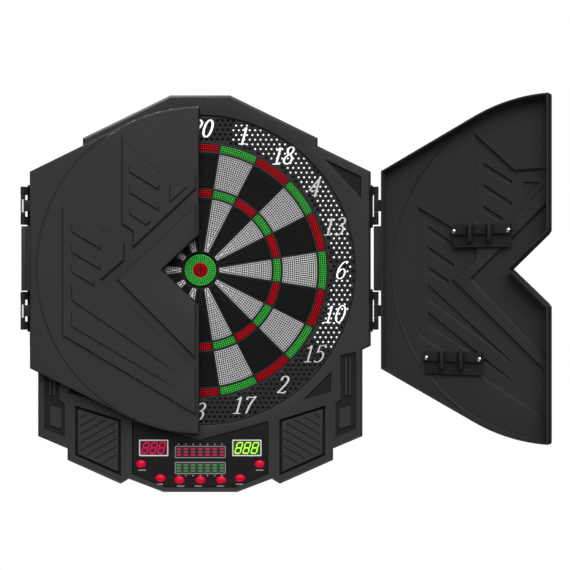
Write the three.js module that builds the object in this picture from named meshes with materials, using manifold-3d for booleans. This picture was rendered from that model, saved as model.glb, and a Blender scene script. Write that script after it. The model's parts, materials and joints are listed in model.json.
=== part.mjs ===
// Electronic dartboard with two hinged cabinet doors: the left door closed, the right door open.
// Millimetres, +Z up. The wall is the plane Y = 0, the board faces -Y, and X = Z = 0 is the bull's centre.

import * as THREE from "three";
import { mergeVertices } from "three/addons/utils/BufferGeometryUtils.js";
import Module from "manifold-3d";

const wasm = await Module();
wasm.setup();

// ---------------------------------------------------------------- driving dimensions

const GAP = 0.3; // left between pieces that touch

// Scoring face: radii of the rings, for a face 15.5 in (393.7 mm) across.
const NUMBERS = [20, 1, 18, 4, 13, 6, 10, 15, 2, 17, 3, 19, 7, 16, 8, 11, 14, 9, 12, 5];
const SECTOR = (2 * Math.PI) / NUMBERS.length;
const DOUBLE_OUTER = 196.85;
const DOUBLE_INNER = 185.5;
const SINGLE_OUTER = 183.2;
const SINGLE_INNER = 129;
const TREBLE_OUTER = 125.5;
const TREBLE_INNER = 113.8;
const INNER_SINGLE_OUTER = 111.4;
const INNER_SINGLE_INNER = 30;
const BULL_OUTER = 24.3;
const BULL_INNER = 11.4;
const RING_STEPS = 40; // facets of every ring, two for each sector
const SEGMENT_SIDE_GAP = 1.7; // from a sector's edge to a segment
const SEGMENT_TRAVEL = 1.5;

// Depths, as Y. The wall is at 0 and everything in front of it is negative.
const FRAME_FRONT = -50;
const FRAME_BACK = -16;
const FACE_FRONT = -46; // front of the scoring segments
const SPIDER_FRONT = -46.5;
const SPIDER_BACK = -41.2;
const SEGMENT_BASE_FRONT = SPIDER_BACK + GAP;
const SEGMENT_BASE_BACK = SEGMENT_BASE_FRONT + 1.5;
const MAT_FRONT = SEGMENT_BASE_BACK + SEGMENT_TRAVEL + GAP;
const MAT_BACK = MAT_FRONT + 1.2;
const BACKING_FRONT = MAT_BACK + GAP;
const BACKING_BACK = BACKING_FRONT + 4;

// Cabinet body.
const WALL = 3;
const FRAME_FACE = 5; // thickness of the frame's front
const FRAME_CHAMFER = 4;
const RING_OPENING = 241.5;
const CATCH_OUTER = 240.8;
const CATCH_INNER = 199.8;
const BODY_HALF = [
  [46.5, 272.4],
  [183, 205.8],
  [183, 193.5],
  [265.8, 153.4],
  [265.8, -118],
  [252.8, -124],
  [252.8, -258.7],
  [207, -278.1],
  [207, -295.9],
  [124, -333],
  [111.5, -325.3],
  [57.5, -345.8],
];
const PANEL_HALF = [
  [106, -235],
  [106, -317.5],
  [55, -338.5],
];
const PANEL_VALLEY = [0, -264]; // where the frame dips over the panel's middle
const SPEAKER_OPENING = [
  [127.2, -235.7],
  [190.5, -216.2],
  [190.5, -286],
  [127.2, -314.3],
];
const UPPER_POCKET = [
  [193, 173.5],
  [251, 145.8],
  [250.4, 111],
];
const LOWER_POCKET = [
  [158, -203.5],
  [204.6, -157],
  [203.5, -191.1],
];
const POD_POCKET = [
  [218.3, -132],
  [242.7, -126.6],
  [242.7, -248.7],
  [210.5, -261.9],
  [210.5, -206.7],
  [218.3, -201.2],
];
const POD_PAD = [
  [214.8, -216],
  [235.4, -210.6],
  [235.4, -242.4],
  [214.8, -249.4],
];
const POD_RIBS = [
  [224.5, 229.5],
  [231, 235.4],
];
const POD_RIB_TOP = -137;
const POD_RIB_BOTTOM = -195;
const GRILLE_GROOVE = 3.9; // sunk surround of a speaker grille
const POCKET_DEPTH = 3;

// Control panel.
const PANEL_FRONT = -46.5;
const PANEL_BACK = -43.5;
const SCORE_WINDOW = { width: 47.5, height: 26.3, x: 72.6, z: -277 };
const MARKS_WINDOW = { width: 79.6, height: 19.4, upperZ: -283.4, lowerZ: -308.2 };
const BUTTON_CENTRES = [
  [-92.5, -302.1],
  [-62.1, -324.2],
  [-32.5, -327],
  [0, -327],
  [32.5, -327],
  [62.1, -324.2],
  [92.5, -302.1],
];
const BUTTON_RADIUS = 8;
const BUTTON_FLATTENING = 0.84; // height over width
const BUTTON_FRONT = -50.5;
const BUTTON_FLANGE = 1.4;

// Hinges. Each side's hinge column has its own frame at the axis, with +X towards the cabinet's middle.
const AXIS_X = 273;
const AXIS_Y = -60.9;
const PIN_RADIUS = 2;
const PIN_BORE = 2.4;
const BARREL_RADIUS = 3.7;
const CLIP_MOUTH = 1.85; // half of the clip's opening, a little less than the pin
const HINGE_HEIGHTS = [
  ["upper", 99.4],
  ["lower", -62.9],
];
const BRACKET_HALF = 29.3;
const EAR_HEIGHT = 12.4;
const CLIP_HALF = 10;
const TAB_HALF = 8.7;
const BRACKET_FOOT = 4; // how far the side plate runs past each ear
const BRACKET_BASE_X = AXIS_X - BODY_HALF[3][0] - GAP;

// Doors, in the hinge column's frame.
const DOOR_OPEN = THREE.MathUtils.degToRad(151); // the right door, as it stands
const DOOR_EDGE = 12.3; // hinge-side edge from the axis
const DOOR_FREE_EDGE = 272.4;
const DOOR_HINGE_HALF = 151.5;
const DOOR_RADIUS = 251; // round end, about the bull's centre
const DOOR_OUTER_Y = -11.9;
const DOOR_RIM_Y = 9.9;
const DOOR_SKIN = 2.5;
const NOTCH_HALF = 54.3;
const NOTCH_DEPTH = 57.5;
const DOOR_STEP = 1; // how far the corners outside the round disc stand back
const PLATE_RISE = 5; // of the raised plates over the round disc
const RAIL_TOP = 67.5;
const RAIL_BOTTOM = -32;
const RAIL_SECTION = [
  [-1.5, -5.2],
  [-0.6, -6],
  [3.6, -6],
  [5, -5.4],
  [8, -9.2],
  [10.4, -10.4],
  [13, -10.9],
  [13, 6.3],
  [-1.5, 6.3],
];

// Dart holders: name, centre along the door from the axis, centre height.
const HOLDERS = [
  ["upper", 168, 50],
  ["lower", 124, -140],
];
const HOLDER_WIDTH = 91;
const HOLDER_HEIGHT = 34;
const HOLDER_BACK_Y = -7.6;
const HOLDER_BLOCK = { front: -0.6, height: 14.8 };
const HOLDER_FLANGE = 2; // thickness below the block
const HOLDER_RIB = { halfWidth: 3.4, rise: 4, bottom: 8.3 };
const RIB_GROOVES = [
  [-6.2, -3.6],
  [3.4, 8],
]; // beside each rib, in the block's front
const GROOVE_DEPTH = 3;
const HOLDER_SCREW_X = 42; // from the holder's centre
const HOLDER_SCREW_Z = 7.3;
const SCREW_BOSS = 3.5;
const SCREW_PAD = 5;
const DART_HOLE = 4.6; // takes a dart's point and shank
const DART_PITCH = 30;

// ---------------------------------------------------------------- materials

function plastic(color, roughness) {
  return new THREE.MeshStandardMaterial({ color, roughness, metalness: 0, flatShading: true });
}

const CHARCOAL = plastic(0x373737, 0.6);
const BLACK = plastic(0x151516, 0.5);
const WHITE_SEGMENT = plastic(0xc4c4c6, 0.5);
const BLACK_SEGMENT = plastic(0x1b1b1c, 0.5);
const GREEN = plastic(0x0fae3c, 0.45);
const RED = plastic(0xb5090f, 0.45);
const BUTTON_RED = plastic(0xd01a3a, 0.35);
const RUBBER = plastic(0x2a2a2c, 0.9);
const BOARD_GREEN = plastic(0x14502f, 0.5);
const RED_LENS = plastic(0x5c0a18, 0.2);
const GREEN_LENS = plastic(0x1c3a12, 0.2);
const STEEL = new THREE.MeshStandardMaterial({ color: 0xb8bcc0, roughness: 0.25, metalness: 1 });

// ---------------------------------------------------------------- shape helpers

function polygon(points) {
  return new THREE.Shape(points.map(([x, y]) => new THREE.Vector2(x, y)));
}

// A symmetrical outline from its right half, which runs from the top to the bottom.
function withMirror(half) {
  return [...half, ...half.map(([x, z]) => [-x, z]).reverse()];
}

function flipped(points) {
  return points.map(([x, z]) => [-x, z]).reverse();
}

// The outline moved inwards by a distance, with its corners kept sharp.
function inset(points, distance) {
  const twiceArea = points.reduce((sum, [x, y], i) => {
    const [nextX, nextY] = points[(i + 1) % points.length];
    return sum + x * nextY - nextX * y;
  }, 0);
  const side = Math.sign(twiceArea) * distance;
  const edges = points.map(([x, y], i) => {
    const [nextX, nextY] = points[(i + 1) % points.length];
    const along = new THREE.Vector2(nextX - x, nextY - y).normalize();
    const start = new THREE.Vector2(x - along.y * side, y + along.x * side);
    return { start, along };
  });
  return edges.map(({ start, along }, i) => {
    const before = edges[(i + edges.length - 1) % edges.length];
    const offset = start.clone().sub(before.start);
    const travel = offset.cross(along) / before.along.cross(along);
    const corner = before.start.clone().addScaledVector(before.along, travel);
    return [corner.x, corner.y];
  });
}

function ellipse(centreX, centreZ, radiusX, radiusZ, steps) {
  return Array.from({ length: steps }, (_, i) => {
    const angle = (i / steps) * 2 * Math.PI;
    return [centreX + radiusX * Math.sin(angle), centreZ + radiusZ * Math.cos(angle)];
  });
}

function rectangle(centreX, centreZ, width, height) {
  const x = width / 2;
  const z = height / 2;
  return [
    [centreX - x, centreZ - z],
    [centreX + x, centreZ - z],
    [centreX + x, centreZ + z],
    [centreX - x, centreZ + z],
  ];
}

// ---------------------------------------------------------------- solids

function solidOf(geometry) {
  const bare = geometry.clone();
  bare.deleteAttribute("normal");
  bare.deleteAttribute("uv");
  const merged = mergeVertices(bare, 1e-4);
  return new wasm.Manifold(
    new wasm.Mesh({
      numProp: 3,
      vertProperties: Float32Array.from(merged.attributes.position.array),
      triVerts: Uint32Array.from(merged.index.array),
    }),
  );
}

function geometryOf(solid) {
  const { vertProperties, triVerts } = solid.getMesh();
  const geometry = new THREE.BufferGeometry();
  geometry.setAttribute("position", new THREE.BufferAttribute(Float32Array.from(vertProperties), 3));
  geometry.setIndex(new THREE.BufferAttribute(Uint32Array.from(triVerts), 1));
  return geometry;
}

function join(first, ...others) {
  return others.reduce((whole, other) => whole.add(other), first);
}

function cut(first, ...others) {
  return others.reduce((whole, other) => whole.subtract(other), first);
}

// A plate whose outline is in X and Z, from the depth yFront to yBack.
function slab(points, yFront, yBack, bevel = 0) {
  const geometry = new THREE.ExtrudeGeometry(polygon(points), {
    depth: yBack - yFront - 2 * bevel,
    bevelEnabled: bevel > 0,
    bevelThickness: bevel,
    bevelSize: bevel,
    bevelOffset: -bevel,
    bevelSegments: 1,
  });
  geometry.rotateX(Math.PI / 2);
  geometry.translate(0, yBack - bevel, 0);
  return solidOf(geometry);
}

// A post whose outline is in X and Y, from the height zLow to zHigh.
function post(points, zLow, zHigh) {
  const geometry = new THREE.ExtrudeGeometry(polygon(points), { depth: zHigh - zLow, bevelEnabled: false });
  geometry.translate(0, 0, zLow);
  return solidOf(geometry);
}

// A body of revolution about the Y axis, from a closed profile of [radius, y].
function turned(profile, steps = RING_STEPS) {
  const points = [...profile, profile[0]].map(([radius, y]) => new THREE.Vector2(radius, y));
  return solidOf(new THREE.LatheGeometry(points, steps));
}

function ring(innerRadius, outerRadius, yFront, yBack) {
  return turned([
    [innerRadius, yFront],
    [outerRadius, yFront],
    [outerRadius, yBack],
    [innerRadius, yBack],
  ]);
}

function disc(radius, yFront, yBack, steps = RING_STEPS) {
  return solidOf(
    new THREE.LatheGeometry(
      [
        [0, yFront],
        [radius, yFront],
        [radius, yBack],
        [0, yBack],
      ].map(([r, y]) => new THREE.Vector2(r, y)),
      steps,
    ),
  );
}

const board = new THREE.Group();

function add(name, solid, material, parent = board) {
  const mesh = new THREE.Mesh(geometryOf(solid), material);
  mesh.name = name;
  parent.add(mesh);
  return mesh;
}

// ---------------------------------------------------------------- cabinet shells

const BODY = withMirror(BODY_HALF);
const PANEL = [PANEL_VALLEY, ...PANEL_HALF, ...flipped(PANEL_HALF)];

function frontFrame() {
  const bevelled = slab(BODY, FRAME_FRONT, FRAME_BACK + FRAME_CHAMFER, FRAME_CHAMFER);
  const behind = slab(rectangle(0, 0, 700, 900), FRAME_BACK, FRAME_BACK + 2 * FRAME_CHAMFER);
  const hollow = slab(inset(BODY, WALL), FRAME_FRONT + FRAME_FACE, FRAME_BACK + 1);
  const collar = ring(RING_OPENING, RING_OPENING + WALL, FRAME_FRONT, BACKING_FRONT);
  const target = disc(RING_OPENING, FRAME_FRONT - 1, FRAME_BACK + 1);
  const pocketFloor = FRAME_FRONT + POCKET_DEPTH;
  const mirroredPair = (points, yFront, yBack) => [
    slab(points, yFront, yBack),
    slab(flipped(points), yFront, yBack),
  ];
  const ribHeight = POD_RIB_TOP - POD_RIB_BOTTOM;
  const ribs = POD_RIBS.map(([inner, outer]) => {
    return rectangle((inner + outer) / 2, POD_RIB_TOP - ribHeight / 2, outer - inner, ribHeight);
  });
  const pads = [POD_PAD, ...ribs].flatMap((points) => {
    return mirroredPair(points, FRAME_FRONT + 1, pocketFloor + 1);
  });
  const shell = join(cut(bevelled, behind, hollow, target), collar);
  const speakerOpening = inset(SPEAKER_OPENING, -GRILLE_GROOVE);
  return join(
    cut(
      shell,
      slab(PANEL, FRAME_FRONT - 1, FRAME_FRONT + FRAME_FACE + 1),
      ...mirroredPair(speakerOpening, FRAME_FRONT - 1, FRAME_FRONT + FRAME_FACE + 1),
      ...mirroredPair(UPPER_POCKET, FRAME_FRONT - 1, pocketFloor),
      ...mirroredPair(LOWER_POCKET, FRAME_FRONT - 1, pocketFloor),
      ...mirroredPair(POD_POCKET, FRAME_FRONT - 1, pocketFloor),
    ),
    ...pads,
  );
}

const KEYHOLES = [
  [-150, 165],
  [150, 165],
];
const KEYHOLE_HEAD = 5.5;
const KEYHOLE_SLOT = 5.4;
const KEYHOLE_DROP = 14;
const SOCKET_Z = -200;
const SOCKET_Y = -9.4;
const SOCKET_SIZE = 9;
const SOCKET_HOLE = 7;
const LOWER_WALL_X = 252.8; // outside of the lower body's side wall

function rearCover() {
  const tray = cut(
    slab(BODY, FRAME_BACK + GAP, 0),
    slab(inset(BODY, WALL), FRAME_BACK, -WALL),
  );
  const keyholes = KEYHOLES.flatMap(([x, z]) => [
    slab(ellipse(x, z, KEYHOLE_HEAD, KEYHOLE_HEAD, 16), -WALL - 1, 1),
    slab(rectangle(x, z + KEYHOLE_DROP / 2, KEYHOLE_SLOT, KEYHOLE_DROP), -WALL - 1, 1),
  ]);
  const socketHole = slab(
    rectangle(LOWER_WALL_X, SOCKET_Z, 4 * WALL, SOCKET_SIZE + 2 * GAP),
    SOCKET_Y - SOCKET_SIZE / 2 - GAP,
    SOCKET_Y + SOCKET_SIZE / 2 + GAP,
  );
  return cut(tray, ...keyholes, socketHole);
}

// ---------------------------------------------------------------- scoring face

function catchRing() {
  const plate = FACE_FRONT - 0.5;
  return turned([
    [CATCH_INNER, plate],
    [CATCH_OUTER, plate],
    [CATCH_OUTER, plate + 11],
    [CATCH_OUTER - 2.5, plate + 11],
    [CATCH_OUTER - 2.5, plate + 3],
    [CATCH_INNER, plate + 3],
  ]);
}

// The web between the segments: rings centred in the gaps, and a spoke on each sector's edge.
function spider() {
  const clearance = 0.6;
  const gaps = [
    [BULL_OUTER, BULL_OUTER + 3],
    [INNER_SINGLE_OUTER, TREBLE_INNER],
    [TREBLE_OUTER, SINGLE_INNER],
    [SINGLE_OUTER, DOUBLE_INNER],
    [DOUBLE_OUTER, CATCH_INNER],
  ];
  const rings = gaps.map(([inner, outer]) =>
    ring(inner + clearance, outer - clearance, SPIDER_FRONT, SPIDER_BACK),
  );
  const spokeStart = BULL_OUTER + 1.5;
  const spokeEnd = DOUBLE_OUTER + 1.5;
  const spokes = NUMBERS.map((_, i) => {
    const geometry = new THREE.BoxGeometry(1.6, SPIDER_BACK - SPIDER_FRONT, spokeEnd - spokeStart);
    geometry.translate(0, (SPIDER_FRONT + SPIDER_BACK) / 2, (spokeStart + spokeEnd) / 2);
    geometry.rotateY((i + 0.5) * SECTOR);
    return solidOf(geometry);
  });
  return join(...rings, ...spokes);
}

// One ring's share of the sector that points up, kept clear of the sector's two edges.
function sector(innerRadius, outerRadius, sideGap) {
  const corner = (radius) => SECTOR / 2 - Math.asin(sideGap / radius);
  const point = (radius, angle) => [radius * Math.sin(angle), radius * Math.cos(angle)];
  const arc = (radius) => [-corner(radius), 0, corner(radius)].map((angle) => point(radius, angle));
  return [...arc(innerRadius), ...arc(outerRadius).reverse()];
}

// The four segments of one number on their common carrier, pointing up.
function numberWedge() {
  const segments = [
    [INNER_SINGLE_INNER, INNER_SINGLE_OUTER],
    [TREBLE_INNER, TREBLE_OUTER],
    [SINGLE_INNER, SINGLE_OUTER],
    [DOUBLE_INNER, DOUBLE_OUTER],
  ].map(([inner, outer]) =>
    slab(sector(inner, outer, SEGMENT_SIDE_GAP), FACE_FRONT, SEGMENT_BASE_FRONT + GAP),
  );
  const carrier = slab(
    sector(INNER_SINGLE_INNER + 1, DOUBLE_OUTER - 1, SEGMENT_SIDE_GAP + GAP),
    SEGMENT_BASE_FRONT,
    SEGMENT_BASE_BACK,
  );
  return join(carrier, ...segments);
}

function addScoringFace() {
  add("catch_ring", catchRing(), BLACK);
  add("segment_spider", spider(), BLACK);
  add("switch_mat", disc(CATCH_INNER - 2, MAT_FRONT, MAT_BACK), RUBBER);
  add("backing_plate", disc(CATCH_INNER + 6, BACKING_FRONT, BACKING_BACK), CHARCOAL);
  add("outer_bull", ring(BULL_INNER + 0.6, BULL_OUTER, FACE_FRONT, SEGMENT_BASE_BACK), GREEN);
  add("inner_bull", disc(BULL_INNER, FACE_FRONT - GAP, SEGMENT_BASE_BACK, 20), RED);
  const wedge = numberWedge();
  NUMBERS.forEach((number, i) => {
    const mesh = add(`number_wedge_${number}`, wedge, i % 2 ? WHITE_SEGMENT : BLACK_SEGMENT);
    mesh.rotation.y = i * SECTOR;
  });
}

// ---------------------------------------------------------------- control panel

function controlPanel() {
  const holes = [
    ...[-SCORE_WINDOW.x, SCORE_WINDOW.x].map((x) =>
      rectangle(x, SCORE_WINDOW.z, SCORE_WINDOW.width, SCORE_WINDOW.height),
    ),
    ...[MARKS_WINDOW.upperZ, MARKS_WINDOW.lowerZ].map((z) =>
      rectangle(0, z, MARKS_WINDOW.width, MARKS_WINDOW.height),
    ),
    ...BUTTON_CENTRES.map(([x, z]) =>
      ellipse(x, z, BUTTON_RADIUS + 0.6, BUTTON_RADIUS * BUTTON_FLATTENING + 0.6, 20),
    ),
  ];
  return cut(
    slab(inset(PANEL, GAP), PANEL_FRONT, PANEL_BACK),
    ...holes.map((outline) => slab(outline, PANEL_FRONT - 1, PANEL_BACK + 1)),
  );
}

function displayWindow(width, height) {
  return slab(rectangle(0, 0, width - 2 * GAP, height - 2 * GAP), PANEL_FRONT - 0.8, PANEL_BACK + 2);
}

// A domed oval cap with a flange that stays behind the panel.
function buttonCap() {
  const flangeFront = PANEL_BACK + GAP;
  const flangeBack = flangeFront + 1.5;
  const shoulder = BUTTON_FRONT + 2.2;
  const profile = [
    [0, BUTTON_FRONT],
    [BUTTON_RADIUS * 0.5, BUTTON_FRONT + 0.3],
    [BUTTON_RADIUS * 0.85, BUTTON_FRONT + 1.1],
    [BUTTON_RADIUS, shoulder],
    [BUTTON_RADIUS, flangeFront],
    [BUTTON_RADIUS + BUTTON_FLANGE, flangeFront],
    [BUTTON_RADIUS + BUTTON_FLANGE, flangeBack],
    [0, flangeBack],
  ].map(([radius, y]) => new THREE.Vector2(radius, y));
  return solidOf(new THREE.LatheGeometry(profile, 20));
}

// A slatted plate that fills the speaker opening, on a flange behind the frame.
function speakerGrille() {
  const plateBack = FRAME_FRONT + FRAME_FACE;
  const plate = slab(inset(SPEAKER_OPENING, GAP), FRAME_FRONT + 2, plateBack + 1);
  const flange = slab(inset(SPEAKER_OPENING, -GRILLE_GROOVE - 3.4), plateBack + GAP, plateBack + GAP + 1.5);
  const middleX = (SPEAKER_OPENING[0][0] + SPEAKER_OPENING[1][0]) / 2;
  const slots = Array.from({ length: 5 }, (_, i) => {
    const middleZ = -238 - i * 14;
    const rise = 16;
    const half = 22;
    return slab(
      [
        [middleX - half, middleZ + rise],
        [middleX + half, middleZ - rise],
        [middleX + half, middleZ - rise - 3.4],
        [middleX - half, middleZ + rise - 3.4],
      ],
      FRAME_FRONT,
      plateBack + 3,
    );
  });
  return cut(join(plate, flange), ...slots);
}

function speakerDriver() {
  return solidOf(
    new THREE.LatheGeometry(
      [
        [0, 8],
        [14, 4],
        [25, 0],
        [27, 0],
        [27, 3],
        [14, 14],
        [14, 20],
        [0, 20],
      ].map(([radius, y]) => new THREE.Vector2(radius, y)),
      24,
    ),
  );
}

function addControls() {
  add("control_panel", controlPanel(), BLACK);
  const score = displayWindow(SCORE_WINDOW.width, SCORE_WINDOW.height);
  add("left_score_window", score, RED_LENS).position.set(-SCORE_WINDOW.x, 0, SCORE_WINDOW.z);
  add("right_score_window", score, GREEN_LENS).position.set(SCORE_WINDOW.x, 0, SCORE_WINDOW.z);
  const marks = displayWindow(MARKS_WINDOW.width, MARKS_WINDOW.height);
  add("upper_marks_window", marks, RED_LENS).position.set(0, 0, MARKS_WINDOW.upperZ);
  add("lower_marks_window", marks, GREEN_LENS).position.set(0, 0, MARKS_WINDOW.lowerZ);
  const cap = buttonCap();
  BUTTON_CENTRES.forEach(([x, z], i) => {
    const button = add(`button_${i + 1}`, cap, BUTTON_RED);
    button.position.set(x, 0, z);
    button.scale.z = BUTTON_FLATTENING;
  });
  const grille = speakerGrille();
  add("right_speaker_grille", grille, CHARCOAL);
  add("left_speaker_grille", grille, CHARCOAL).scale.x = -1;
  add("speaker", speakerDriver(), BLACK).position.set(159, FRAME_FRONT + FRAME_FACE + 2.5, -262);
}

// ---------------------------------------------------------------- electronics

function addBox(name, [width, depth, height], [x, y, z], material) {
  const mesh = new THREE.Mesh(new THREE.BoxGeometry(width, depth, height), material);
  mesh.name = name;
  mesh.position.set(x, y, z);
  board.add(mesh);
}

// A round-holed power socket in the lower right side wall, its hole facing +X.
function powerSocket() {
  const hole = new THREE.CylinderGeometry(SOCKET_HOLE / 2, SOCKET_HOLE / 2, 10, 12);
  hole.rotateZ(Math.PI / 2);
  const body = new THREE.BoxGeometry(14, SOCKET_SIZE, SOCKET_SIZE);
  body.translate(-7, 0, 0);
  return cut(solidOf(body), solidOf(hole));
}

function addElectronics() {
  addBox("display_circuit_board", [196, 1.6, 62], [0, -36.2, -290], BOARD_GREEN);
  addBox("main_circuit_board", [130, 1.6, 80], [0, -22, -80], BOARD_GREEN);
  add("power_socket", powerSocket(), BLACK).position.set(LOWER_WALL_X, SOCKET_Y, SOCKET_Z);
}

// ---------------------------------------------------------------- hinges

// A side plate with two ears that reach forward, and barrels round the pin that run up to the door's clip.
function hingeBracket() {
  const inner = BRACKET_BASE_X;
  const plateOuter = inner - 2.7;
  const plate = post(
    [
      [inner, 12],
      [inner, 38],
      [plateOuter, 38],
      [plateOuter, 12],
    ],
    -BRACKET_HALF - BRACKET_FOOT,
    BRACKET_HALF + BRACKET_FOOT,
  );
  const earOutline = [
    [inner, 20],
    [inner, 3],
    [2.6, -2.6],
    [-3.1, 2],
    [plateOuter, 12],
    [plateOuter, 20],
  ];
  const barrelLength = BRACKET_HALF - CLIP_HALF - 0.4;
  const round = ellipse(0, 0, BARREL_RADIUS, BARREL_RADIUS, 16);
  const ears = [-1, 1].map((end) => {
    const earLow = end < 0 ? -BRACKET_HALF : BRACKET_HALF - EAR_HEIGHT;
    const barrelLow = end < 0 ? -BRACKET_HALF : BRACKET_HALF - barrelLength;
    const barrel = post(round, barrelLow, barrelLow + barrelLength);
    return join(post(earOutline, earLow, earLow + EAR_HEIGHT), barrel);
  });
  const bore = post(ellipse(0, 0, PIN_BORE, PIN_BORE, 16), -BRACKET_HALF - 1, BRACKET_HALF + 1);
  return cut(join(plate, ...ears), bore);
}

function hingePin() {
  return post(ellipse(0, 0, PIN_RADIUS, PIN_RADIUS, 12), -BRACKET_HALF + 0.5, BRACKET_HALF - 0.5);
}

// The door's C-shaped clip on the pin, open towards the front of the closed door, and its tab.
function hingeClip(height) {
  const round = ellipse(0, 0, BARREL_RADIUS, BARREL_RADIUS, 16);
  const barrel = post(round, height - CLIP_HALF, height + CLIP_HALF);
  const tab = post(
    [
      [2.6, -2.6],
      [DOOR_EDGE + 1, -2.6],
      [DOOR_EDGE + 1, 3.2],
      [2.6, 3.2],
    ],
    height - TAB_HALF,
    height + TAB_HALF,
  );
  const bore = post(ellipse(0, 0, PIN_BORE, PIN_BORE, 16), height - 20, height + 20);
  const mouth = post(
    [
      [-CLIP_MOUTH, -6],
      [CLIP_MOUTH, -6],
      [CLIP_MOUTH, 0],
      [-CLIP_MOUTH, 0],
    ],
    height - 20,
    height + 20,
  );
  return cut(join(barrel, tab), bore, mouth);
}

// ---------------------------------------------------------------- doors

// A door's outline in the hinge column's frame: hinge edge, slopes that run into the round ends about the
// bull's centre, and the notch for the bull.
function doorOutline() {
  const hingeCorner = new THREE.Vector2(DOOR_EDGE - AXIS_X, DOOR_HINGE_HALF);
  const arcStart = hingeCorner.angle() - Math.acos(DOOR_RADIUS / hingeCorner.length());
  const arcEnd = Math.acos((DOOR_FREE_EDGE - AXIS_X) / DOOR_RADIUS);
  const steps = 8;
  const arc = Array.from({ length: steps + 1 }, (_, i) => {
    const angle = arcStart + ((arcEnd - arcStart) * i) / steps;
    return [AXIS_X + DOOR_RADIUS * Math.cos(angle), DOOR_RADIUS * Math.sin(angle)];
  });
  const upper = [[DOOR_EDGE, DOOR_HINGE_HALF], ...arc, [DOOR_FREE_EDGE, NOTCH_HALF]];
  const lower = upper.map(([x, z]) => [x, -z]).reverse();
  return [...upper, [DOOR_FREE_EDGE - NOTCH_DEPTH, 0], ...lower];
}

// Raised plates of the door's moulded pattern: above the bull, below it, and the arrow round the notch.
const PLATE_END = DOOR_FREE_EDGE - 3;
const DOOR_PLATES = [
  [
    [153.5, 206.5],
    [153.5, 70],
    [170.3, 58.7],
    [170.3, 31],
    [PLATE_END, 123.7],
    [PLATE_END, 147],
    [217, 147],
  ],
  [
    [62.5, 99],
    [159.7, 42],
    [159.7, 14.6],
    [125, -15.5],
    [PLATE_END, -150.7],
    [PLATE_END, -224.3],
    [62.5, -101],
  ],
  [
    [145.2, -14.5],
    [PLATE_END, 101.7],
    [PLATE_END, -139.3],
  ],
];

// A shallow tray with plates raised on its outer face and matching recesses inside.
function door() {
  const outline = doorOutline();
  const cavity = inset(outline, DOOR_SKIN);
  const innerFace = DOOR_OUTER_Y + DOOR_SKIN;
  const disc = slab(ellipse(AXIS_X, 0, DOOR_RADIUS - 1, DOOR_RADIUS - 1, 72), DOOR_OUTER_Y - 2, innerFace);
  const corners = slab(inset(outline, -2), DOOR_OUTER_Y - 1, DOOR_OUTER_Y + DOOR_STEP).subtract(disc);
  const plates = DOOR_PLATES.map((points) => slab(points, DOOR_OUTER_Y - PLATE_RISE, DOOR_OUTER_Y + 1));
  const recesses = DOOR_PLATES.map((points) => {
    return slab(inset(points, DOOR_SKIN), innerFace - PLATE_RISE, innerFace + 1);
  });
  const blank = join(cut(slab(outline, DOOR_OUTER_Y, DOOR_RIM_Y), corners), ...plates).intersect(
    slab(outline, DOOR_OUTER_Y - PLATE_RISE, DOOR_RIM_Y),
  );
  const screwPads = HOLDERS.flatMap(([, along, height]) => {
    return [-HOLDER_SCREW_X, HOLDER_SCREW_X].map((x) => {
      const outlineOfPad = ellipse(along + x, height + HOLDER_SCREW_Z, SCREW_PAD, SCREW_PAD, 12);
      return slab(outlineOfPad, DOOR_OUTER_Y - PLATE_RISE, innerFace).intersect(blank);
    });
  });
  const rail = post(RAIL_SECTION, RAIL_BOTTOM, RAIL_TOP);
  const clips = HINGE_HEIGHTS.map(([, height]) => hingeClip(height));
  const tray = cut(blank, slab(cavity, innerFace, DOOR_RIM_Y + 1), ...recesses);
  return join(tray, ...screwPads, rail, ...clips);
}

// A block with three upright holes for the darts' points, two ribs over grooved fields, and a flange below.
function dartHolder() {
  const bottom = -HOLDER_HEIGHT / 2;
  const top = HOLDER_HEIGHT / 2;
  const halfWidth = HOLDER_WIDTH / 2;
  const { front, height } = HOLDER_BLOCK;
  const block = post(
    [
      [-halfWidth, HOLDER_BACK_Y],
      [halfWidth, HOLDER_BACK_Y],
      [halfWidth, front],
      [-halfWidth, front],
    ],
    top - height,
    top,
  );
  const flangeFront = HOLDER_BACK_Y + HOLDER_FLANGE;
  const flange = slab(rectangle(0, 0, HOLDER_WIDTH, HOLDER_HEIGHT), HOLDER_BACK_Y, flangeFront);
  const ribPlaces = [-DART_PITCH / 2 - 1.5, DART_PITCH / 2 - 1.5];
  const grooves = ribPlaces.flatMap((x) => {
    return RIB_GROOVES.map(([left, right]) => {
      const outline = rectangle(x + (left + right) / 2, top, right - left, 2 * height + 2);
      return slab(outline, front - GROOVE_DEPTH, front + 1);
    });
  });
  const ribs = ribPlaces.map((x) => {
    const round = ellipse(x, front, HOLDER_RIB.halfWidth, HOLDER_RIB.rise, 12);
    const foot = rectangle(x, (HOLDER_BACK_Y + front) / 2, 2 * HOLDER_RIB.halfWidth, front - HOLDER_BACK_Y);
    const low = bottom + HOLDER_RIB.bottom;
    return join(post(round, low, top - 1), post(foot, low, top - 1));
  });
  const dartHoles = [-DART_PITCH, 0, DART_PITCH].map((x) => {
    const middle = (HOLDER_BACK_Y + front) / 2;
    return post(ellipse(x, middle, DART_HOLE / 2, DART_HOLE / 2, 12), top - height - 1, top + 1);
  });
  const bosses = [-HOLDER_SCREW_X, HOLDER_SCREW_X].map((x) => {
    const round = ellipse(x, HOLDER_SCREW_Z, SCREW_BOSS, SCREW_BOSS, 12);
    return slab(round, DOOR_OUTER_Y + DOOR_SKIN + GAP, HOLDER_BACK_Y + 1);
  });
  return join(cut(join(block, flange), ...grooves, ...dartHoles), ...ribs, ...bosses);
}

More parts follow.
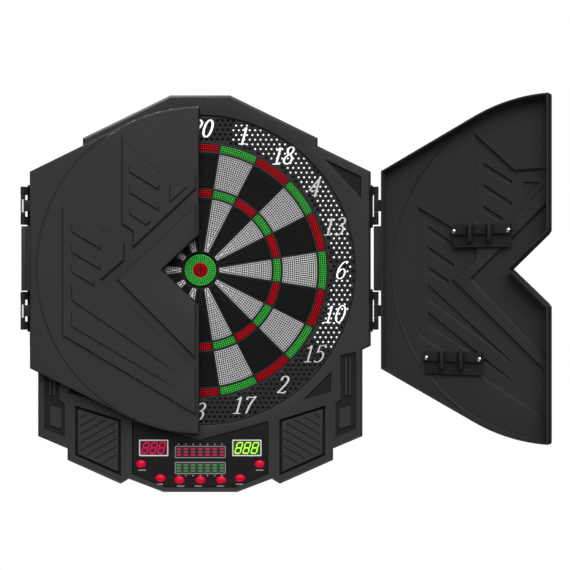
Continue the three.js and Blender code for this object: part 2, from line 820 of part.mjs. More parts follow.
// The fixed half of each hinge and the door itself, mirrored for the right side.
function addSide(name, axisX, facing, doorAngle) {
  const column = new THREE.Group();
  column.position.set(axisX, AXIS_Y, 0);
  column.scale.x = facing;
  board.add(column);
  HINGE_HEIGHTS.forEach(([level, height]) => {
    add(`${name}_${level}_hinge_bracket`, hingeBracket(), BLACK, column).position.z = height;
    add(`${name}_${level}_hinge_pin`, hingePin(), STEEL, column).position.z = height;
  });
  const swing = new THREE.Group();
  swing.position.set(axisX, AXIS_Y, 0);
  swing.rotation.z = doorAngle;
  const leaf = new THREE.Group();
  leaf.scale.x = facing;
  swing.add(leaf);
  board.add(swing);
  add(`${name}_door`, door(), CHARCOAL, leaf);
  HOLDERS.forEach(([level, along, height]) => {
    add(`${name}_${level}_dart_holder`, dartHolder(), BLACK, leaf).position.set(along, 0, height);
  });
}

// ---------------------------------------------------------------- the whole board

add("front_frame", frontFrame(), CHARCOAL);
add("rear_cover", rearCover(), CHARCOAL);
addScoringFace();
addControls();
addElectronics();
addSide("left", -AXIS_X, 1, 0);
addSide("right", AXIS_X, -1, DOOR_OPEN);

export default board;
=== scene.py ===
import json
import math

import bmesh
import bpy
import numpy as np
from mathutils import Matrix, Vector
from mathutils.geometry import delaunay_2d_cdt


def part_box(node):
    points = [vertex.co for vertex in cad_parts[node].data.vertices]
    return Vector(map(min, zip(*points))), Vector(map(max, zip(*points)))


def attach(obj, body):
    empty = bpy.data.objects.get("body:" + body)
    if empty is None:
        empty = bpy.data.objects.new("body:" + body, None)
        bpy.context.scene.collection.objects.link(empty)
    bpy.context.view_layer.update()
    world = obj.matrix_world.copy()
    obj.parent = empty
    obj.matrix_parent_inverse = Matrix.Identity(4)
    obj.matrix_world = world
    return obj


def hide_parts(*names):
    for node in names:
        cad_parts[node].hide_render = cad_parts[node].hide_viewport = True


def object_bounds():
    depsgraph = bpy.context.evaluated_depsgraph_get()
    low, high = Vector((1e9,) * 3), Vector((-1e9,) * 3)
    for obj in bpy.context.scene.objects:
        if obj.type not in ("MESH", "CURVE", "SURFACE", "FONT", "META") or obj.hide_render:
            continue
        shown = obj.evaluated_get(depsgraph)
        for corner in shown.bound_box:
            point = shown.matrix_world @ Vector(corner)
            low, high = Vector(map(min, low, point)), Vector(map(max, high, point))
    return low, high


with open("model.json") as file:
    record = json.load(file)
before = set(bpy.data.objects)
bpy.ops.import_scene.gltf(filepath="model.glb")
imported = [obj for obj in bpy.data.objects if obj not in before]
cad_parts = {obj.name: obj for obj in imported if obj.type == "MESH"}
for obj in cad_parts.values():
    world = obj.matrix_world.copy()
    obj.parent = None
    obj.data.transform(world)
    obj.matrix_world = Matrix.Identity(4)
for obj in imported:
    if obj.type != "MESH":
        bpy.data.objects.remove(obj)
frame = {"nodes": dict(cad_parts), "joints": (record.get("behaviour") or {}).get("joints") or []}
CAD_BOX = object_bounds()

# Looks of an electronic dartboard with two hinged cabinet doors. Lengths are in millimetres until a mesh
# is made. X runs to the right, Z up, and Y into the wall: the player looks along +Y.

MM = 0.001


def node_box(node):
    low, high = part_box(node)
    return low / MM, high / MM


JOINTS = {joint["name"]: joint for joint in frame["joints"]}
LEFT_AXIS = [c / MM for c in JOINTS["left_door_hinge"]["pos_m"]]
RIGHT_AXIS = [c / MM for c in JOINTS["right_door_hinge"]["pos_m"]]
RIGHT_DOOR_OPEN = -math.radians(JOINTS["right_door_hinge"]["range_deg"][0])
AXIS_X = RIGHT_AXIS[0]

# ---------------------------------------------------------------- dimensions

NUMBERS = [20, 1, 18, 4, 13, 6, 10, 15, 2, 17, 3, 19, 7, 16, 8, 11, 14, 9, 12, 5]
SECTOR = 2 * math.pi / len(NUMBERS)
SEGMENT_RINGS = {
    "inner_single": (30, 111),
    "treble": (114.6, 125.1),
    "outer_single": (128.9, 181.9),
    "double": (186, 196.4),
}
SEGMENT_SIDE_GAP = 1.7
BULL_OUTER = 24.3
BULL_INNER = 11.4
FACE_FRONT = node_box("number_wedge_20")[0].y
CARRIER_BACK = node_box("number_wedge_20")[1].y
HOLE_PITCH = 3.25
HOLE_RADIUS = 1.43
HOLE_DEPTH = 1.6
EDGE_MARGIN = 2
WEB_GAP = 1
WEB_BULL = 28

RING_FRONT = node_box("catch_ring")[0].y
RING_BACK = node_box("catch_ring")[1].y
RING_OUTER = node_box("catch_ring")[1].z
RING_INNER = 199.8
RING_PLATE = 3
FUNNEL_PITCH = 8.47
FUNNEL_ORIGIN = (5, 5.5)
FUNNEL_MOUTH = 3.4
PIT_RADIUS = 1.1
FUNNEL_THROAT = 1.55
LIT_ARC = (13, 122)
LIT_RADIUS = 206
LIT_GAP_HALF = 13
LIT_GAP_END = 229

FRAME_FRONT = node_box("front_frame")[0].y
FRAME_BACK = node_box("front_frame")[1].y
COVER_FRONT = node_box("rear_cover")[0].y
FRAME_WALL = 3.6
FRAME_FACE = 5
RING_OPENING = 241.5
BODY_HALF = [
    (46.5, 272.4), (183, 205.8), (183, 193.5), (265.8, 153.4), (265.8, -118), (252.8, -124),
    (252.8, -258.7), (207, -278.1), (207, -295.9), (124, -333), (111.5, -325.3), (57.5, -345.8),
]
PANEL_HALF = [(106, -235), (106, -317.5), (55, -338.5)]
PANEL_VALLEY = (0, -264)
SPEAKER_OPENING = [(127.2, -235.7), (190.5, -216.2), (190.5, -286), (127.2, -314.3)]
UPPER_POCKET = [(193, 173.5), (251, 145.8), (250.4, 111)]
LOWER_POCKET = [(158, -203.5), (204.6, -157), (203.5, -191.1)]
POD_POCKET = [(218.3, -132), (242.7, -126.6), (242.7, -248.7), (210.5, -261.9), (210.5, -206.7), (218.3, -201.2)]
POD_PAD = [(214.8, -216), (235.4, -210.6), (235.4, -242.4), (214.8, -249.4)]
POD_RIBS = [(224.5, 229.5), (231, 235.4)]
POD_RIB_TOP = -137
POD_RIB_BOTTOM = -195
POCKET_DEPTH = 4
FRAME_EDGE = [(3.8, 3.8)]
KEYHOLES = [(-150, 165), (150, 165)]
KEYHOLE_HEAD = 5.5
KEYHOLE_SLOT = 5.4
KEYHOLE_DROP = 14
SCREW_WELLS = [
    (x * side, z) for x, z in ((60, 250), (247, 140), (247, 20), (247, -100), (232, -225), (90, -310)) for side in (-1, 1)
]

PANEL_FRONT = node_box("control_panel")[0].y
PANEL_BACK = node_box("control_panel")[1].y
BUTTON_RADIUS = 8
BUTTON_FLATTENING = 0.8
DASH_SHIFTS = [2, -2, 2, -3, -1, -1, 0]
DISPLAY_SLANT = 0.28
DISPLAY_DIGIT_PITCH = 12.6
MARKS_PITCH = 11.25
GRILLE_GROOVE = 3.9
GROOVE_PITCH = 12.7
GROOVE_FALL = 0.556
GROOVE_WIDTH = 4

STUDIO_GREY = (0.07, 0.38)

PIN_RADIUS = 2
PIN_BORE = 2.4
BARREL_RADIUS = 3.7
HINGE_HEIGHTS = [("upper", 99.4), ("lower", -62.9)]
BRACKET_HALF = 29.3
EAR_HEIGHT = 12.4
CLIP_HALF = 10
CLIP_MOUTH = 1.85
TAB_HALF = 8.7
BRACKET_FOOT = 4
BRACKET_BASE_X = AXIS_X - BODY_HALF[3][0] - 0.3

RAIL_TOP = 67.5
RAIL_BOTTOM = -32
RAIL_SECTION = [
    (-1.5, -5.2), (-0.6, -6), (3.6, -6), (5, -5.4), (8, -9.2), (10.4, -10.4), (13, -10.9), (13, 6.3), (-1.5, 6.3),
]
HOLDERS = [("upper", 168, 50), ("lower", 124, -140)]
HOLDER_WIDTH = 91
HOLDER_HEIGHT = 34
HOLDER_BACK_Y = -7.6
HOLDER_FLANGE_Y = -5.6
HOLDER_FRONT_Y = -0.6
HOLDER_BLOCK_HEIGHT = 14.8
RIB_GROOVES = [(-6.2, -3.6), (3.4, 8)]
GROOVE_DEPTH = 3
DART_PITCH = 30
DART_HOLE_RADIUS = 2.3
HOLDER_SCREW_X = 42
HOLDER_SCREW_Z = 7.3

DOOR_EDGE = 12.3
DOOR_FREE_EDGE = 272.4
DOOR_HINGE_HALF = 151.5
DOOR_RADIUS = 251
DOOR_OUTER_Y = -11.9
DOOR_RIM_Y = 9.9
DOOR_WALL = 2.5
NOTCH_HALF = 54.3
NOTCH_DEPTH = 57.5
DOOR_STEP = 2
DISC_GROOVE = 0.8
PLATE_RISE = 5
LOUVRE_RISE = 3.2

# ---------------------------------------------------------------- outlines


def mirrored(points):
    return [(-x, z) for x, z in reversed(points)]


def symmetric(half):
    return [*half, *mirrored(half)]


def circle(radius, count, centre=(0, 0)):
    turns = [2 * math.pi * i / count for i in range(count)]
    return [(centre[0] + radius * math.sin(t), centre[1] + radius * math.cos(t)) for t in turns]


def oval(centre, radius_x, radius_z, count):
    return [(centre[0] + x * radius_x, centre[1] + z * radius_z) for x, z in circle(1, count)]


def rectangle(centre, width, height):
    x, z = width / 2, height / 2
    return [(centre[0] + a * x, centre[1] + b * z) for a, b in ((-1, -1), (1, -1), (1, 1), (-1, 1))]


def area(points):
    p = np.array(points)
    q = np.roll(p, -1, 0)
    return float((p[:, 0] * q[:, 1] - q[:, 0] * p[:, 1]).sum() / 2)


def inset(points, distance):
    """The closed outline moved inwards by a distance, with its corners kept sharp."""
    p = np.array(points, float)
    along = np.roll(p, -1, 0) - p
    along /= np.linalg.norm(along, axis=1)[:, None]
    normal = np.stack([-along[:, 1], along[:, 0]], 1) * np.sign(area(points))
    before = np.roll(normal, 1, 0)
    shift = (normal + before) / (1 + (normal * before).sum(1))[:, None]
    return [tuple(q) for q in p + shift * distance]


def rounded(points, radius, steps=4):
    """The closed outline with each corner turned into an arc."""
    p = [Vector(q) for q in points]
    done = []
    for i, corner in enumerate(p):
        back = (p[i - 1] - corner).normalized()
        ahead = (p[(i + 1) % len(p)] - corner).normalized()
        half = back.angle(ahead) / 2
        reach = min(radius / math.tan(half), (p[i - 1] - corner).length / 2.01, (p[(i + 1) % len(p)] - corner).length / 2.01)
        start, end = corner + back * reach, corner + ahead * reach
        for k in range(steps + 1):
            t = k / steps
            done.append(tuple(start * (1 - t) ** 2 + corner * 2 * t * (1 - t) + end * t ** 2))
    return done


def inside(points, outline):
    """Which of the points the closed outline runs round."""
    turns = np.zeros(len(points), int)
    x, z = points[:, 0], points[:, 1]
    for (ax, az), (bx, bz) in zip(outline, [*outline[1:], outline[0]]):
        if az != bz:
            crossed = ((az > z) != (bz > z)) & (x < (bx - ax) * (z - az) / (bz - az) + ax)
            turns += np.where(crossed, 1 if bz > az else -1, 0)
    return turns != 0


def depth_inside(points, outline):
    """Each point's distance to the closed outline, positive inside it."""
    nearest = np.full(len(points), np.inf)
    corners = np.array(outline, float)
    for a, b in zip(corners, np.roll(corners, -1, 0)):
        side = b - a
        t = np.clip(((points - a) @ side) / (side @ side), 0, 1)
        nearest = np.minimum(nearest, np.linalg.norm(points - a - t[:, None] * side, axis=1))
    return np.where(inside(points, outline), nearest, -nearest)


# ---------------------------------------------------------------- meshes


class Mesh:
    """Vertices in millimetres and faces, each with the number of its material."""

    def __init__(self):
        self.verts = []
        self.faces = []
        self.slots = []

    def vertex(self, x, y, z):
        self.verts.append((x, y, z))
        return len(self.verts) - 1

    def face(self, corners, slot=0):
        self.faces.append(tuple(corners))
        self.slots.append(slot)

    def sheet(self, outline, y, holes=(), round_holes=(), lines=(), joined=(), slot=0):
        """Fills an outline in X and Z, with the outlines joined to it and without its holes, at the depth y,
        a number or a function of the points. round_holes are (centre, radius, count). Returns the loops of
        its edges, each with the sheet on its left."""
        points, triangles = filled(outline, holes, round_holes, lines, joined)
        depths = y(points) if callable(y) else np.full(len(points), float(y))
        triangles = self.put(points, depths, triangles, slot)
        ahead = dict(open_sides(triangles))
        loops = []
        while ahead:
            start, current = next(iter(ahead.items()))
            loop = [start]
            del ahead[start]
            while current != start:
                loop.append(current)
                current = ahead.pop(current)
            loops.append(loop)
        return loops

    def put(self, points, depths, triangles, slot=0):
        first = len(self.verts)
        self.verts += [(float(x), float(y), float(z)) for (x, z), y in zip(points, depths)]
        placed = [tuple(first + i for i in triangle) for triangle in triangles]
        for triangle in placed:
            self.face(triangle, slot)
        return placed

    def flat(self, loop):
        return [(self.verts[i][0], self.verts[i][2]) for i in loop]

    def skirt(self, loop, steps, slot=0):
        """Rings that leave a sheet's edge: each step is (distance outwards, depth). Returns the last loop."""
        p = np.array(self.flat(loop))
        along = np.roll(p, -1, 0) - p
        along /= np.maximum(np.linalg.norm(along, axis=1), 1e-9)[:, None]
        out = np.stack([along[:, 1], -along[:, 0]], 1)
        before = np.roll(out, 1, 0)
        shift = (out + before) / np.maximum(1 + (out * before).sum(1), 0.2)[:, None]
        for outwards, y in steps:
            ring = [self.vertex(x, y, z) for x, z in p + shift * outwards]
            for i in range(len(loop)):
                j = (i + 1) % len(loop)
                self.face((loop[i], loop[j], ring[j], ring[i]), slot)
            loop = ring
        return loop

    def taper(self, loop, factor, y, slot=0):
        """A ring shrunk about the loop's middle. Returns its loop."""
        p = np.array(self.flat(loop))
        middle = p.mean(0)
        ring = [self.vertex(x, y, z) for x, z in middle + (p - middle) * factor]
        for i in range(len(loop)):
            j = (i + 1) % len(loop)
            self.face((loop[i], loop[j], ring[j], ring[i]), slot)
        return ring

    def annulus(self, one, other, slot=0):
        """Fills the flat ring between two loops at the same depth."""
        outer, inner = sorted((one, other), key=lambda loop: -abs(area(self.flat(loop))))
        points, triangles, origin = triangulate([self.flat(outer), self.flat(inner)])
        centres = points[triangles].mean(1)
        keep = inside(centres, self.flat(outer)) & ~inside(centres, self.flat(inner))
        index = [*outer, *inner]
        for triangle in triangles[keep]:
            self.face([index[origin[i]] for i in triangle], slot)

    def cap(self, loop, slot=0):
        points, triangles, origin = triangulate([self.flat(loop)])
        for triangle in triangles[inside(points[triangles].mean(1), self.flat(loop))]:
            self.face([loop[origin[i]] for i in triangle], slot)

    def add(self, other, matrix=Matrix.Identity(4), slot=0):
        first = len(self.verts)
        self.verts += [tuple(matrix @ Vector(v)) for v in other.verts]
        self.faces += [tuple(first + i for i in face) for face in other.faces]
        self.slots += [slot + s for s in other.slots]
        return self

    def object(self, name, materials, matrix=Matrix.Identity(4), smooth=30):
        data = bpy.data.meshes.new(name)
        data.from_pydata([tuple(Vector(v) * MM) for v in self.verts], [], self.faces)
        for material in materials:
            data.materials.append(material)
        data.polygons.foreach_set("material_index", self.slots)
        work = bmesh.new()
        work.from_mesh(data)
        bmesh.ops.remove_doubles(work, verts=work.verts, dist=1e-7)
        for _ in range(2):
            thin = [f for f in work.faces if f.calc_area() < 2e-10 and min(len(e.link_faces) for e in f.edges) == 1]
            bmesh.ops.delete(work, geom=thin, context="FACES")
        bmesh.ops.transform(work, matrix=Matrix.Scale(MM, 4) @ matrix @ Matrix.Scale(1 / MM, 4), verts=work.verts)
        bmesh.ops.recalc_face_normals(work, faces=work.faces)
        work.to_mesh(data)
        work.free()
        data.polygons.foreach_set("use_smooth", [True] * len(data.polygons))
        data.set_sharp_from_angle(angle=math.radians(smooth))
        made = bpy.data.objects.new(name, data)
        bpy.context.scene.collection.objects.link(made)
        return made


def triangulate(loops):
    """A triangulation with every loop's sides as edges: its points, its triangles, and each point's place in the loops."""
    corners, sides = [], []
    for loop in loops:
        first = len(corners)
        corners += [Vector(p) for p in loop]
        sides += [(first + i, first + (i + 1) % len(loop)) for i in range(len(loop))]
    points, _, faces, origin, _, _ = delaunay_2d_cdt(corners, sides, [], 0, 1e-5)
    return np.array([tuple(p) for p in points]), np.array(faces), [o[0] if o else None for o in origin]


def filled(outline, holes=(), round_holes=(), lines=(), joined=()):
    """The points and the triangles that fill an outline and those joined to it, but not its holes."""
    rings = [circle(radius, count, centre) for centre, radius, count in round_holes]
    points, triangles, _ = triangulate([outline, *joined, *holes, *rings, *lines])
    centres = points[triangles].mean(1)
    keep = inside(centres, outline)
    for other in joined:
        keep |= inside(centres, other)
    for hole in holes:
        keep &= ~inside(centres, hole)
    for centre, radius, count in round_holes:
        keep &= np.linalg.norm(centres - np.array(centre), axis=1) > radius * math.cos(math.pi / count)
    used, places = np.unique(triangles[keep], return_inverse=True)
    return points[used], places.reshape(-1, 3).tolist()


def open_sides(triangles):
    """The sides that belong to one triangle only, in its own direction."""
    sides = {(t[i - 1], t[i]): None for t in triangles for i in range(3)}
    return [side for side in sides if side[::-1] not in sides]


def bevel_steps(radius, y, turns=3):
    """Steps of a skirt that rounds the front edge of a sheet at the depth y."""
    angles = [math.pi / 2 * (i + 1) / turns for i in range(turns)]
    return [(radius * math.sin(a), y + radius * (1 - math.cos(a))) for a in angles]


def plate(outline, y_front, y_back, bevel=0.0, holes=(), round_holes=(), joined=(), slot=0):
    """A closed plate, with rounded edges if it has a bevel."""
    made = Mesh()
    if not bevel:
        points, triangles = filled(outline, holes, round_holes, joined=joined)
        front = made.put(points, np.full(len(points), float(y_front)), triangles, slot)
        made.put(points, np.full(len(points), float(y_back)), triangles, slot)
        for a, b in open_sides(front):
            made.face((a, b, b + len(points), a + len(points)), slot)
        return made
    outline = inset(outline, bevel)
    holes = [inset(hole, -bevel) for hole in holes]
    round_holes = [(centre, radius + bevel, count) for centre, radius, count in round_holes]
    front = bevel_steps(bevel, y_front)
    for loop in made.sheet(outline, y_front, holes, round_holes, slot=slot):
        made.skirt(loop, [*front, *[(out, y_front + y_back - y) for out, y in reversed(front)], (0, y_back)], slot)
    made.sheet(outline, y_back, holes, round_holes, slot=slot)
    return made


UPRIGHT = Matrix(((1, 0, 0, 0), (0, 0, 1, 0), (0, 1, 0, 0), (0, 0, 0, 1)))


def post(outline, z_low, z_high, bevel, holes=(), joined=()):
    """A plate that stands on its edge: its outline is in X and Y."""
    return Mesh().add(plate(outline, z_low, z_high, bevel, holes, joined=joined), UPRIGHT)


def relief(features, base):
    """The depth of a face whose features rise out of it: each is (outline, rise, width of its slope)."""

    def depth(points):
        y = np.full(len(points), float(base))
        for outline, rise, slope in features:
            y -= rise * np.clip(depth_inside(points, outline) / slope, 0, 1)
        return y

    return depth


def contour_lines(features):
    """The top and the foot of every slope, and the creases that join them at the corners."""
    lines = []
    for outline, _, slope in features:
        top = inset(outline, slope)
        lines += [outline, top, *[[foot, crest] for foot, crest in zip(outline, top)]]
    return lines


def matching_loop(made, loops, shape):
    """The loop that lies closest to an outline."""
    corners = np.array(shape)
    low, high = corners.min(0), corners.max(0)

    def mismatch(loop):
        flat = np.array(made.flat(loop))
        return abs(flat.min(0) - low).sum() + abs(flat.max(0) - high).sum()

    return min(loops, key=mismatch)


def shell(outline, face_y, rim_y, wall, face, edge, features=(), inner_features=(), collar=None, openings=(), side=0):
    """A moulded tray that opens towards +Y, with walls at its outline and at its collar (outline, rim depth), and
    a face of its own thickness. The outer edge has a profile; openings are rounded a little."""
    made = Mesh()
    collars = [collar[0]] if collar else []
    inner_y = face_y + face
    bevel = edge[-1][0]
    holes = [inset(hole, -OPENING_BEVEL) for hole in [*collars, *openings]]
    loops = made.sheet(inset(outline, bevel), relief(features, face_y), holes, lines=contour_lines(features))
    # Faces sunk deep into the face take material 1, a painted shade.
    for i, corners in enumerate(made.faces):
        if min(made.verts[v][1] for v in corners) > face_y + PAINTED_SHADE_DEPTH:
            made.slots[i] = 1
    holes = [*[inset(hole, -wall) for hole in collars], *[inset(hole, -OPENING_BEVEL) for hole in openings]]
    inner_depth = relief(inner_features, inner_y)
    inner_loops = made.sheet(inset(outline, wall), inner_depth, holes, lines=contour_lines(inner_features))
    ends = [rim_y, *([collar[1]] if collar else []), *[inner_y for _ in openings]]
    for shape, end in zip([outline, *collars, *openings], ends):
        profile = edge if shape is outline else round_profile(OPENING_BEVEL)
        loop = round_edge(made, matching_loop(made, loops, shape), profile)
        # The outer wall takes the material side; the doors set it to the painted shade.
        loop = made.skirt(loop, [(0, end)], side)
        other = matching_loop(made, inner_loops, shape)
        if end != inner_y:
            other = made.skirt(other, [(0, end)])
        made.annulus(loop, other)
    return made


OPENING_BEVEL = 0.8
PAINTED_SHADE_DEPTH = 3.5


def round_profile(radius, turns=3):
    """An edge's profile as (outwards, deeper) points."""
    angles = [math.pi / 2 * (i + 1) / turns for i in range(turns)]
    return [(radius * math.sin(a), radius * (1 - math.cos(a))) for a in angles]


def round_edge(made, loop, profile):
    """The edge round a sheet, kept to the sheet's own depth where that changes along it."""
    depths = [made.verts[i][1] for i in loop]
    reached = 0
    for outwards, deeper in profile:
        loop = made.skirt(loop, [(outwards - reached, 0)])
        reached = outwards
        for i, depth in zip(loop, depths):
            x, _, z = made.verts[i]
            made.verts[i] = (x, depth + deeper, z)
    return loop


def lathe(profile, count, squeeze=1):
    """A body of revolution about the Y axis from (radius, y) points, flattened in Z by squeeze."""
    made = Mesh()
    rings = []
    for radius, y in profile:
        if radius == 0:
            rings.append([made.vertex(0, y, 0)] * count)
        else:
            rings.append([made.vertex(x, y, z * squeeze) for x, z in circle(radius, count)])
    for one, two in zip(rings, rings[1:]):
        for i in range(count):
            j = (i + 1) % count
            corners = list(dict.fromkeys((one[i], one[j], two[j], two[i])))
            if len(corners) > 2:
                made.face(corners)
    return made


# ---------------------------------------------------------------- materials


def material(name, color, roughness=0.5, metallic=0.0, specular=0.35, mottle=0.06, grain=0.0, grain_size=0.5,
             emission=0.0, coat=0.0):
    """A moulded material: its colour varies slowly, and a fine grain shows in its roughness and its bump."""
    made = bpy.data.materials.new(name)
    made.use_nodes = True
    nodes, links = made.node_tree.nodes, made.node_tree.links
    shader = nodes["Principled BSDF"]
    shader.inputs["Metallic"].default_value = metallic
    shader.inputs["Specular IOR Level"].default_value = specular
    shader.inputs["Coat Weight"].default_value = coat
    shader.inputs["Coat Roughness"].default_value = 0.12
    place = nodes.new("ShaderNodeTexCoord")
    clouds = nodes.new("ShaderNodeTexNoise")
    clouds.inputs["Scale"].default_value = 9
    clouds.inputs["Detail"].default_value = 5
    links.new(place.outputs["Object"], clouds.inputs["Vector"])
    ramp = nodes.new("ShaderNodeValToRGB")
    dark, light = ramp.color_ramp.elements
    dark.position, light.position = 0.3, 0.7
    dark.color = (*[c * (1 - mottle) for c in color], 1)
    light.color = (*[min(1, c * (1 + mottle)) for c in color], 1)
    links.new(clouds.outputs["Fac"], ramp.inputs["Fac"])
    links.new(ramp.outputs["Color"], shader.inputs["Base Color"])
    fine = nodes.new("ShaderNodeTexNoise")
    fine.inputs["Scale"].default_value = 1 / (grain_size * MM)
    fine.inputs["Detail"].default_value = 2
    links.new(place.outputs["Object"], fine.inputs["Vector"])
    spread = nodes.new("ShaderNodeMapRange")
    spread.inputs["To Min"].default_value = max(0.02, roughness - 0.06)
    spread.inputs["To Max"].default_value = min(1, roughness + 0.06)
    links.new(fine.outputs["Fac"], spread.inputs["Value"])
    links.new(spread.outputs["Result"], shader.inputs["Roughness"])
    if grain:
        bump = nodes.new("ShaderNodeBump")
        bump.inputs["Strength"].default_value = grain
        bump.inputs["Distance"].default_value = 0.1 * MM
        links.new(fine.outputs["Fac"], bump.inputs["Height"])
        links.new(bump.outputs["Normal"], shader.inputs["Normal"])
    # Emission makes the colour glow: lamps for the displays, a painted glow on print.
    if emission:
        shader.inputs["Emission Strength"].default_value = emission
        links.new(ramp.outputs["Color"], shader.inputs["Emission Color"])
    return made


CABINET = material("cabinet plastic", (0.029, 0.029, 0.029), 0.4, specular=0.12, grain=0.25)
# A darker copy of the cabinet plastic: painted shade on pocket floors, door walls and the grilles' surrounds.
PAINTED_SHADE_PLASTIC = material("plastic with painted shade", (0.014, 0.014, 0.014), 0.6, specular=0.05, grain=0.3)
DOOR = material("door plastic", (0.0285, 0.0285, 0.0285), 0.4, specular=0.12, grain=0.25)
BLACK = material("black plastic", (0.017, 0.017, 0.018), 0.4, specular=0.12, grain=0.15)
PANEL_BLACK = material("panel black", (0.012, 0.0115, 0.012), 0.45, specular=0.06, grain=0.1)
WEB = material("web plastic", (0.016, 0.016, 0.017), 0.35, specular=0.25, grain=0.1)
RING = material("ring plastic", (0.031, 0.03, 0.032), 0.5, specular=0.08, grain=0.15)
# Darker than the ring plastic: painted shade on the funnels' walls.
FUNNEL_SHADE = material("painted shade on funnel walls", (0.019, 0.018, 0.02), 0.55, specular=0.05)
LIGHT_SEGMENT = material("light segment", (0.56, 0.555, 0.565), 0.45, specular=0.1, grain=0.1)
DARK_SEGMENT = material("dark segment", (0.014, 0.014, 0.014), 0.4, specular=0.08, grain=0.1)
GREEN = material("green segment", (0.046, 0.49, 0.056), 0.4, specular=0.15, grain=0.1)
RED = material("red segment", (0.5, 0.002, 0.009), 0.4, specular=0.1, grain=0.1)
# Dark and darkened copies of the segment colours for hole floors and the ring's pits: painted shade where deep holes
# fall dark.
LIGHT_HOLE_SHADE = material("painted shade in light segment's holes", (0.012, 0.012, 0.013), 0.9, specular=0.05)
DARK_HOLE_SHADE = material("painted shade in dark holes", (0.002, 0.002, 0.002), 0.9, specular=0.05)
GREEN_HOLE_SHADE = material("painted shade in green holes", (0.001, 0.025, 0.003), 0.9, specular=0.05)
RED_HOLE_SHADE = material("painted shade in red holes", (0.018, 0.001, 0.001), 0.9, specular=0.05)
# Printed white, also the white strip behind the ring's lit holes; its emission is a painted glow.
GLOWING_WHITE = material("printed white with painted glow", (0.85, 0.85, 0.85), 0.6, mottle=0.02, emission=0.45)
# A darker copy of the print with a weaker glow: painted shade on the numbers of the lower right.
SHADED_PRINT = material("print with painted shade", (0.5, 0.5, 0.5), 0.6, mottle=0.1, emission=0.15)
SILVER = material("silver frame", (0.62, 0.62, 0.64), 0.4, metallic=0.1)
STEEL = material("steel", (0.6, 0.62, 0.64), 0.25, metallic=1)
PIN_STEEL = material("bright pin", (0.8, 0.82, 0.84), 0.3, metallic=0.2)
BUTTON = material("button rubber", (0.52, 0.001, 0.028), 0.35, specular=0.15)
LABEL = material("label print", (0.3, 0.3, 0.31), 0.6)
RED_LENS = material("red display lens", (0.1, 0.007, 0.03), 0.15, specular=0.2)
GREEN_LENS = material("green display lens", (0.03, 0.1, 0.002), 0.15, specular=0.2)
RED_MARKS_LENS = material("red marks lens", (0.045, 0.016, 0.02), 0.2, specular=0.4)
GREEN_MARKS_LENS = material("green marks lens", (0.04, 0.045, 0.028), 0.2, specular=0.4)
RED_LIGHT = material("red light", (0.55, 0.01, 0.05), 0.4, emission=0.4)
GREEN_LIGHT = material("green light", (0.5, 0.95, 0.12), 0.4, emission=0.7)
DIM_RED = material("dim red light", (0.36, 0.02, 0.06), 0.4, emission=0.15)
DIM_GREEN = material("dim green light", (0.035, 0.2, 0.08), 0.4, emission=0.15)
BOARD = material("circuit board", (0.01, 0.09, 0.04), 0.4, mottle=0.3)
RUBBER = material("rubber mat", (0.02, 0.02, 0.02), 0.9, grain=0.3)
CONE = material("speaker paper", (0.015, 0.015, 0.015), 0.95, grain=0.5)


def stand_for(piece, body, slot, *nodes):
    """Makes a piece ride on a body in place of CAD nodes. Its slot is not used."""
    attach(piece, body)
    if nodes:
        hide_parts(*nodes)
    return piece


def own_finish(node, finish):
    """A CAD node that stays as it is, with a finish of its own."""
    slots = frame["nodes"][node].data.materials
    slots.clear()
    slots.append(finish)


# ---------------------------------------------------------------- scoring face


def sector_outline(inner, outer, side_gap):
    """One ring's share of the sector that points up."""
    arc_steps = max(2, round(outer / 14))

    def arc(radius):
        reach = SECTOR / 2 - math.asin(side_gap / radius)
        angles = [reach * (2 * i / arc_steps - 1) for i in range(arc_steps + 1)]
        return [(radius * math.sin(a), radius * math.cos(a)) for a in angles]

    return [*arc(inner), *reversed(arc(outer))]


def sector_holes(inner, outer, margin):
    """Dart holes on arcs, spread evenly from edge to edge of the sector."""
    span = outer - inner - 2 * margin
    rows = int(span / HOLE_PITCH + 0.3)
    holes = []
    for row in range(rows + 1):
        radius = inner + margin + span * row / rows
        half_width = radius * SECTOR / 2 - SEGMENT_SIDE_GAP - margin
        gaps = max(0, int(2 * half_width / HOLE_PITCH + 0.12))
        for k in range(gaps + 1):
            s = half_width * (2 * k / gaps - 1) if gaps else 0
            holes.append((radius * math.sin(s / radius), radius * math.cos(s / radius)))
    return holes


def punched(made, loops, y_front, depth):
    """Blind holes under small loops of a sheet: a collar in material 0, then shade in material 1."""
    for loop in loops:
        rim = made.skirt(loop, [(0, y_front + 0.2)])
        floor = made.skirt(rim, [(0.1, y_front + depth)], 1)
        made.face(floor, 1)


def perforated(outline, centres, y_front, y_back, bevel, openings=(), hole_radius=HOLE_RADIUS):
    """A plate with blind dart holes, and with openings right through it."""
    made = Mesh()
    rings = [(centre, hole_radius, 8) for centre in centres]
    shape, holes = inset(outline, bevel), [inset(hole, -bevel) for hole in openings]
    loops = sorted(made.sheet(shape, y_front, holes, rings), key=lambda loop: -abs(area(made.flat(loop))))
    edges = 1 + len(openings)
    front = bevel_steps(bevel, y_front, 2)
    for loop in loops[:edges]:
        made.skirt(loop, [*front, *[(out, y_front + y_back - y) for out, y in reversed(front)], (0, y_back)])
    made.sheet(shape, y_back, holes)
    punched(made, loops[edges:], y_front, HOLE_DEPTH)
    return made


def turned_by(sectors):
    return Matrix.Rotation(sectors * SECTOR, 4, "Y")


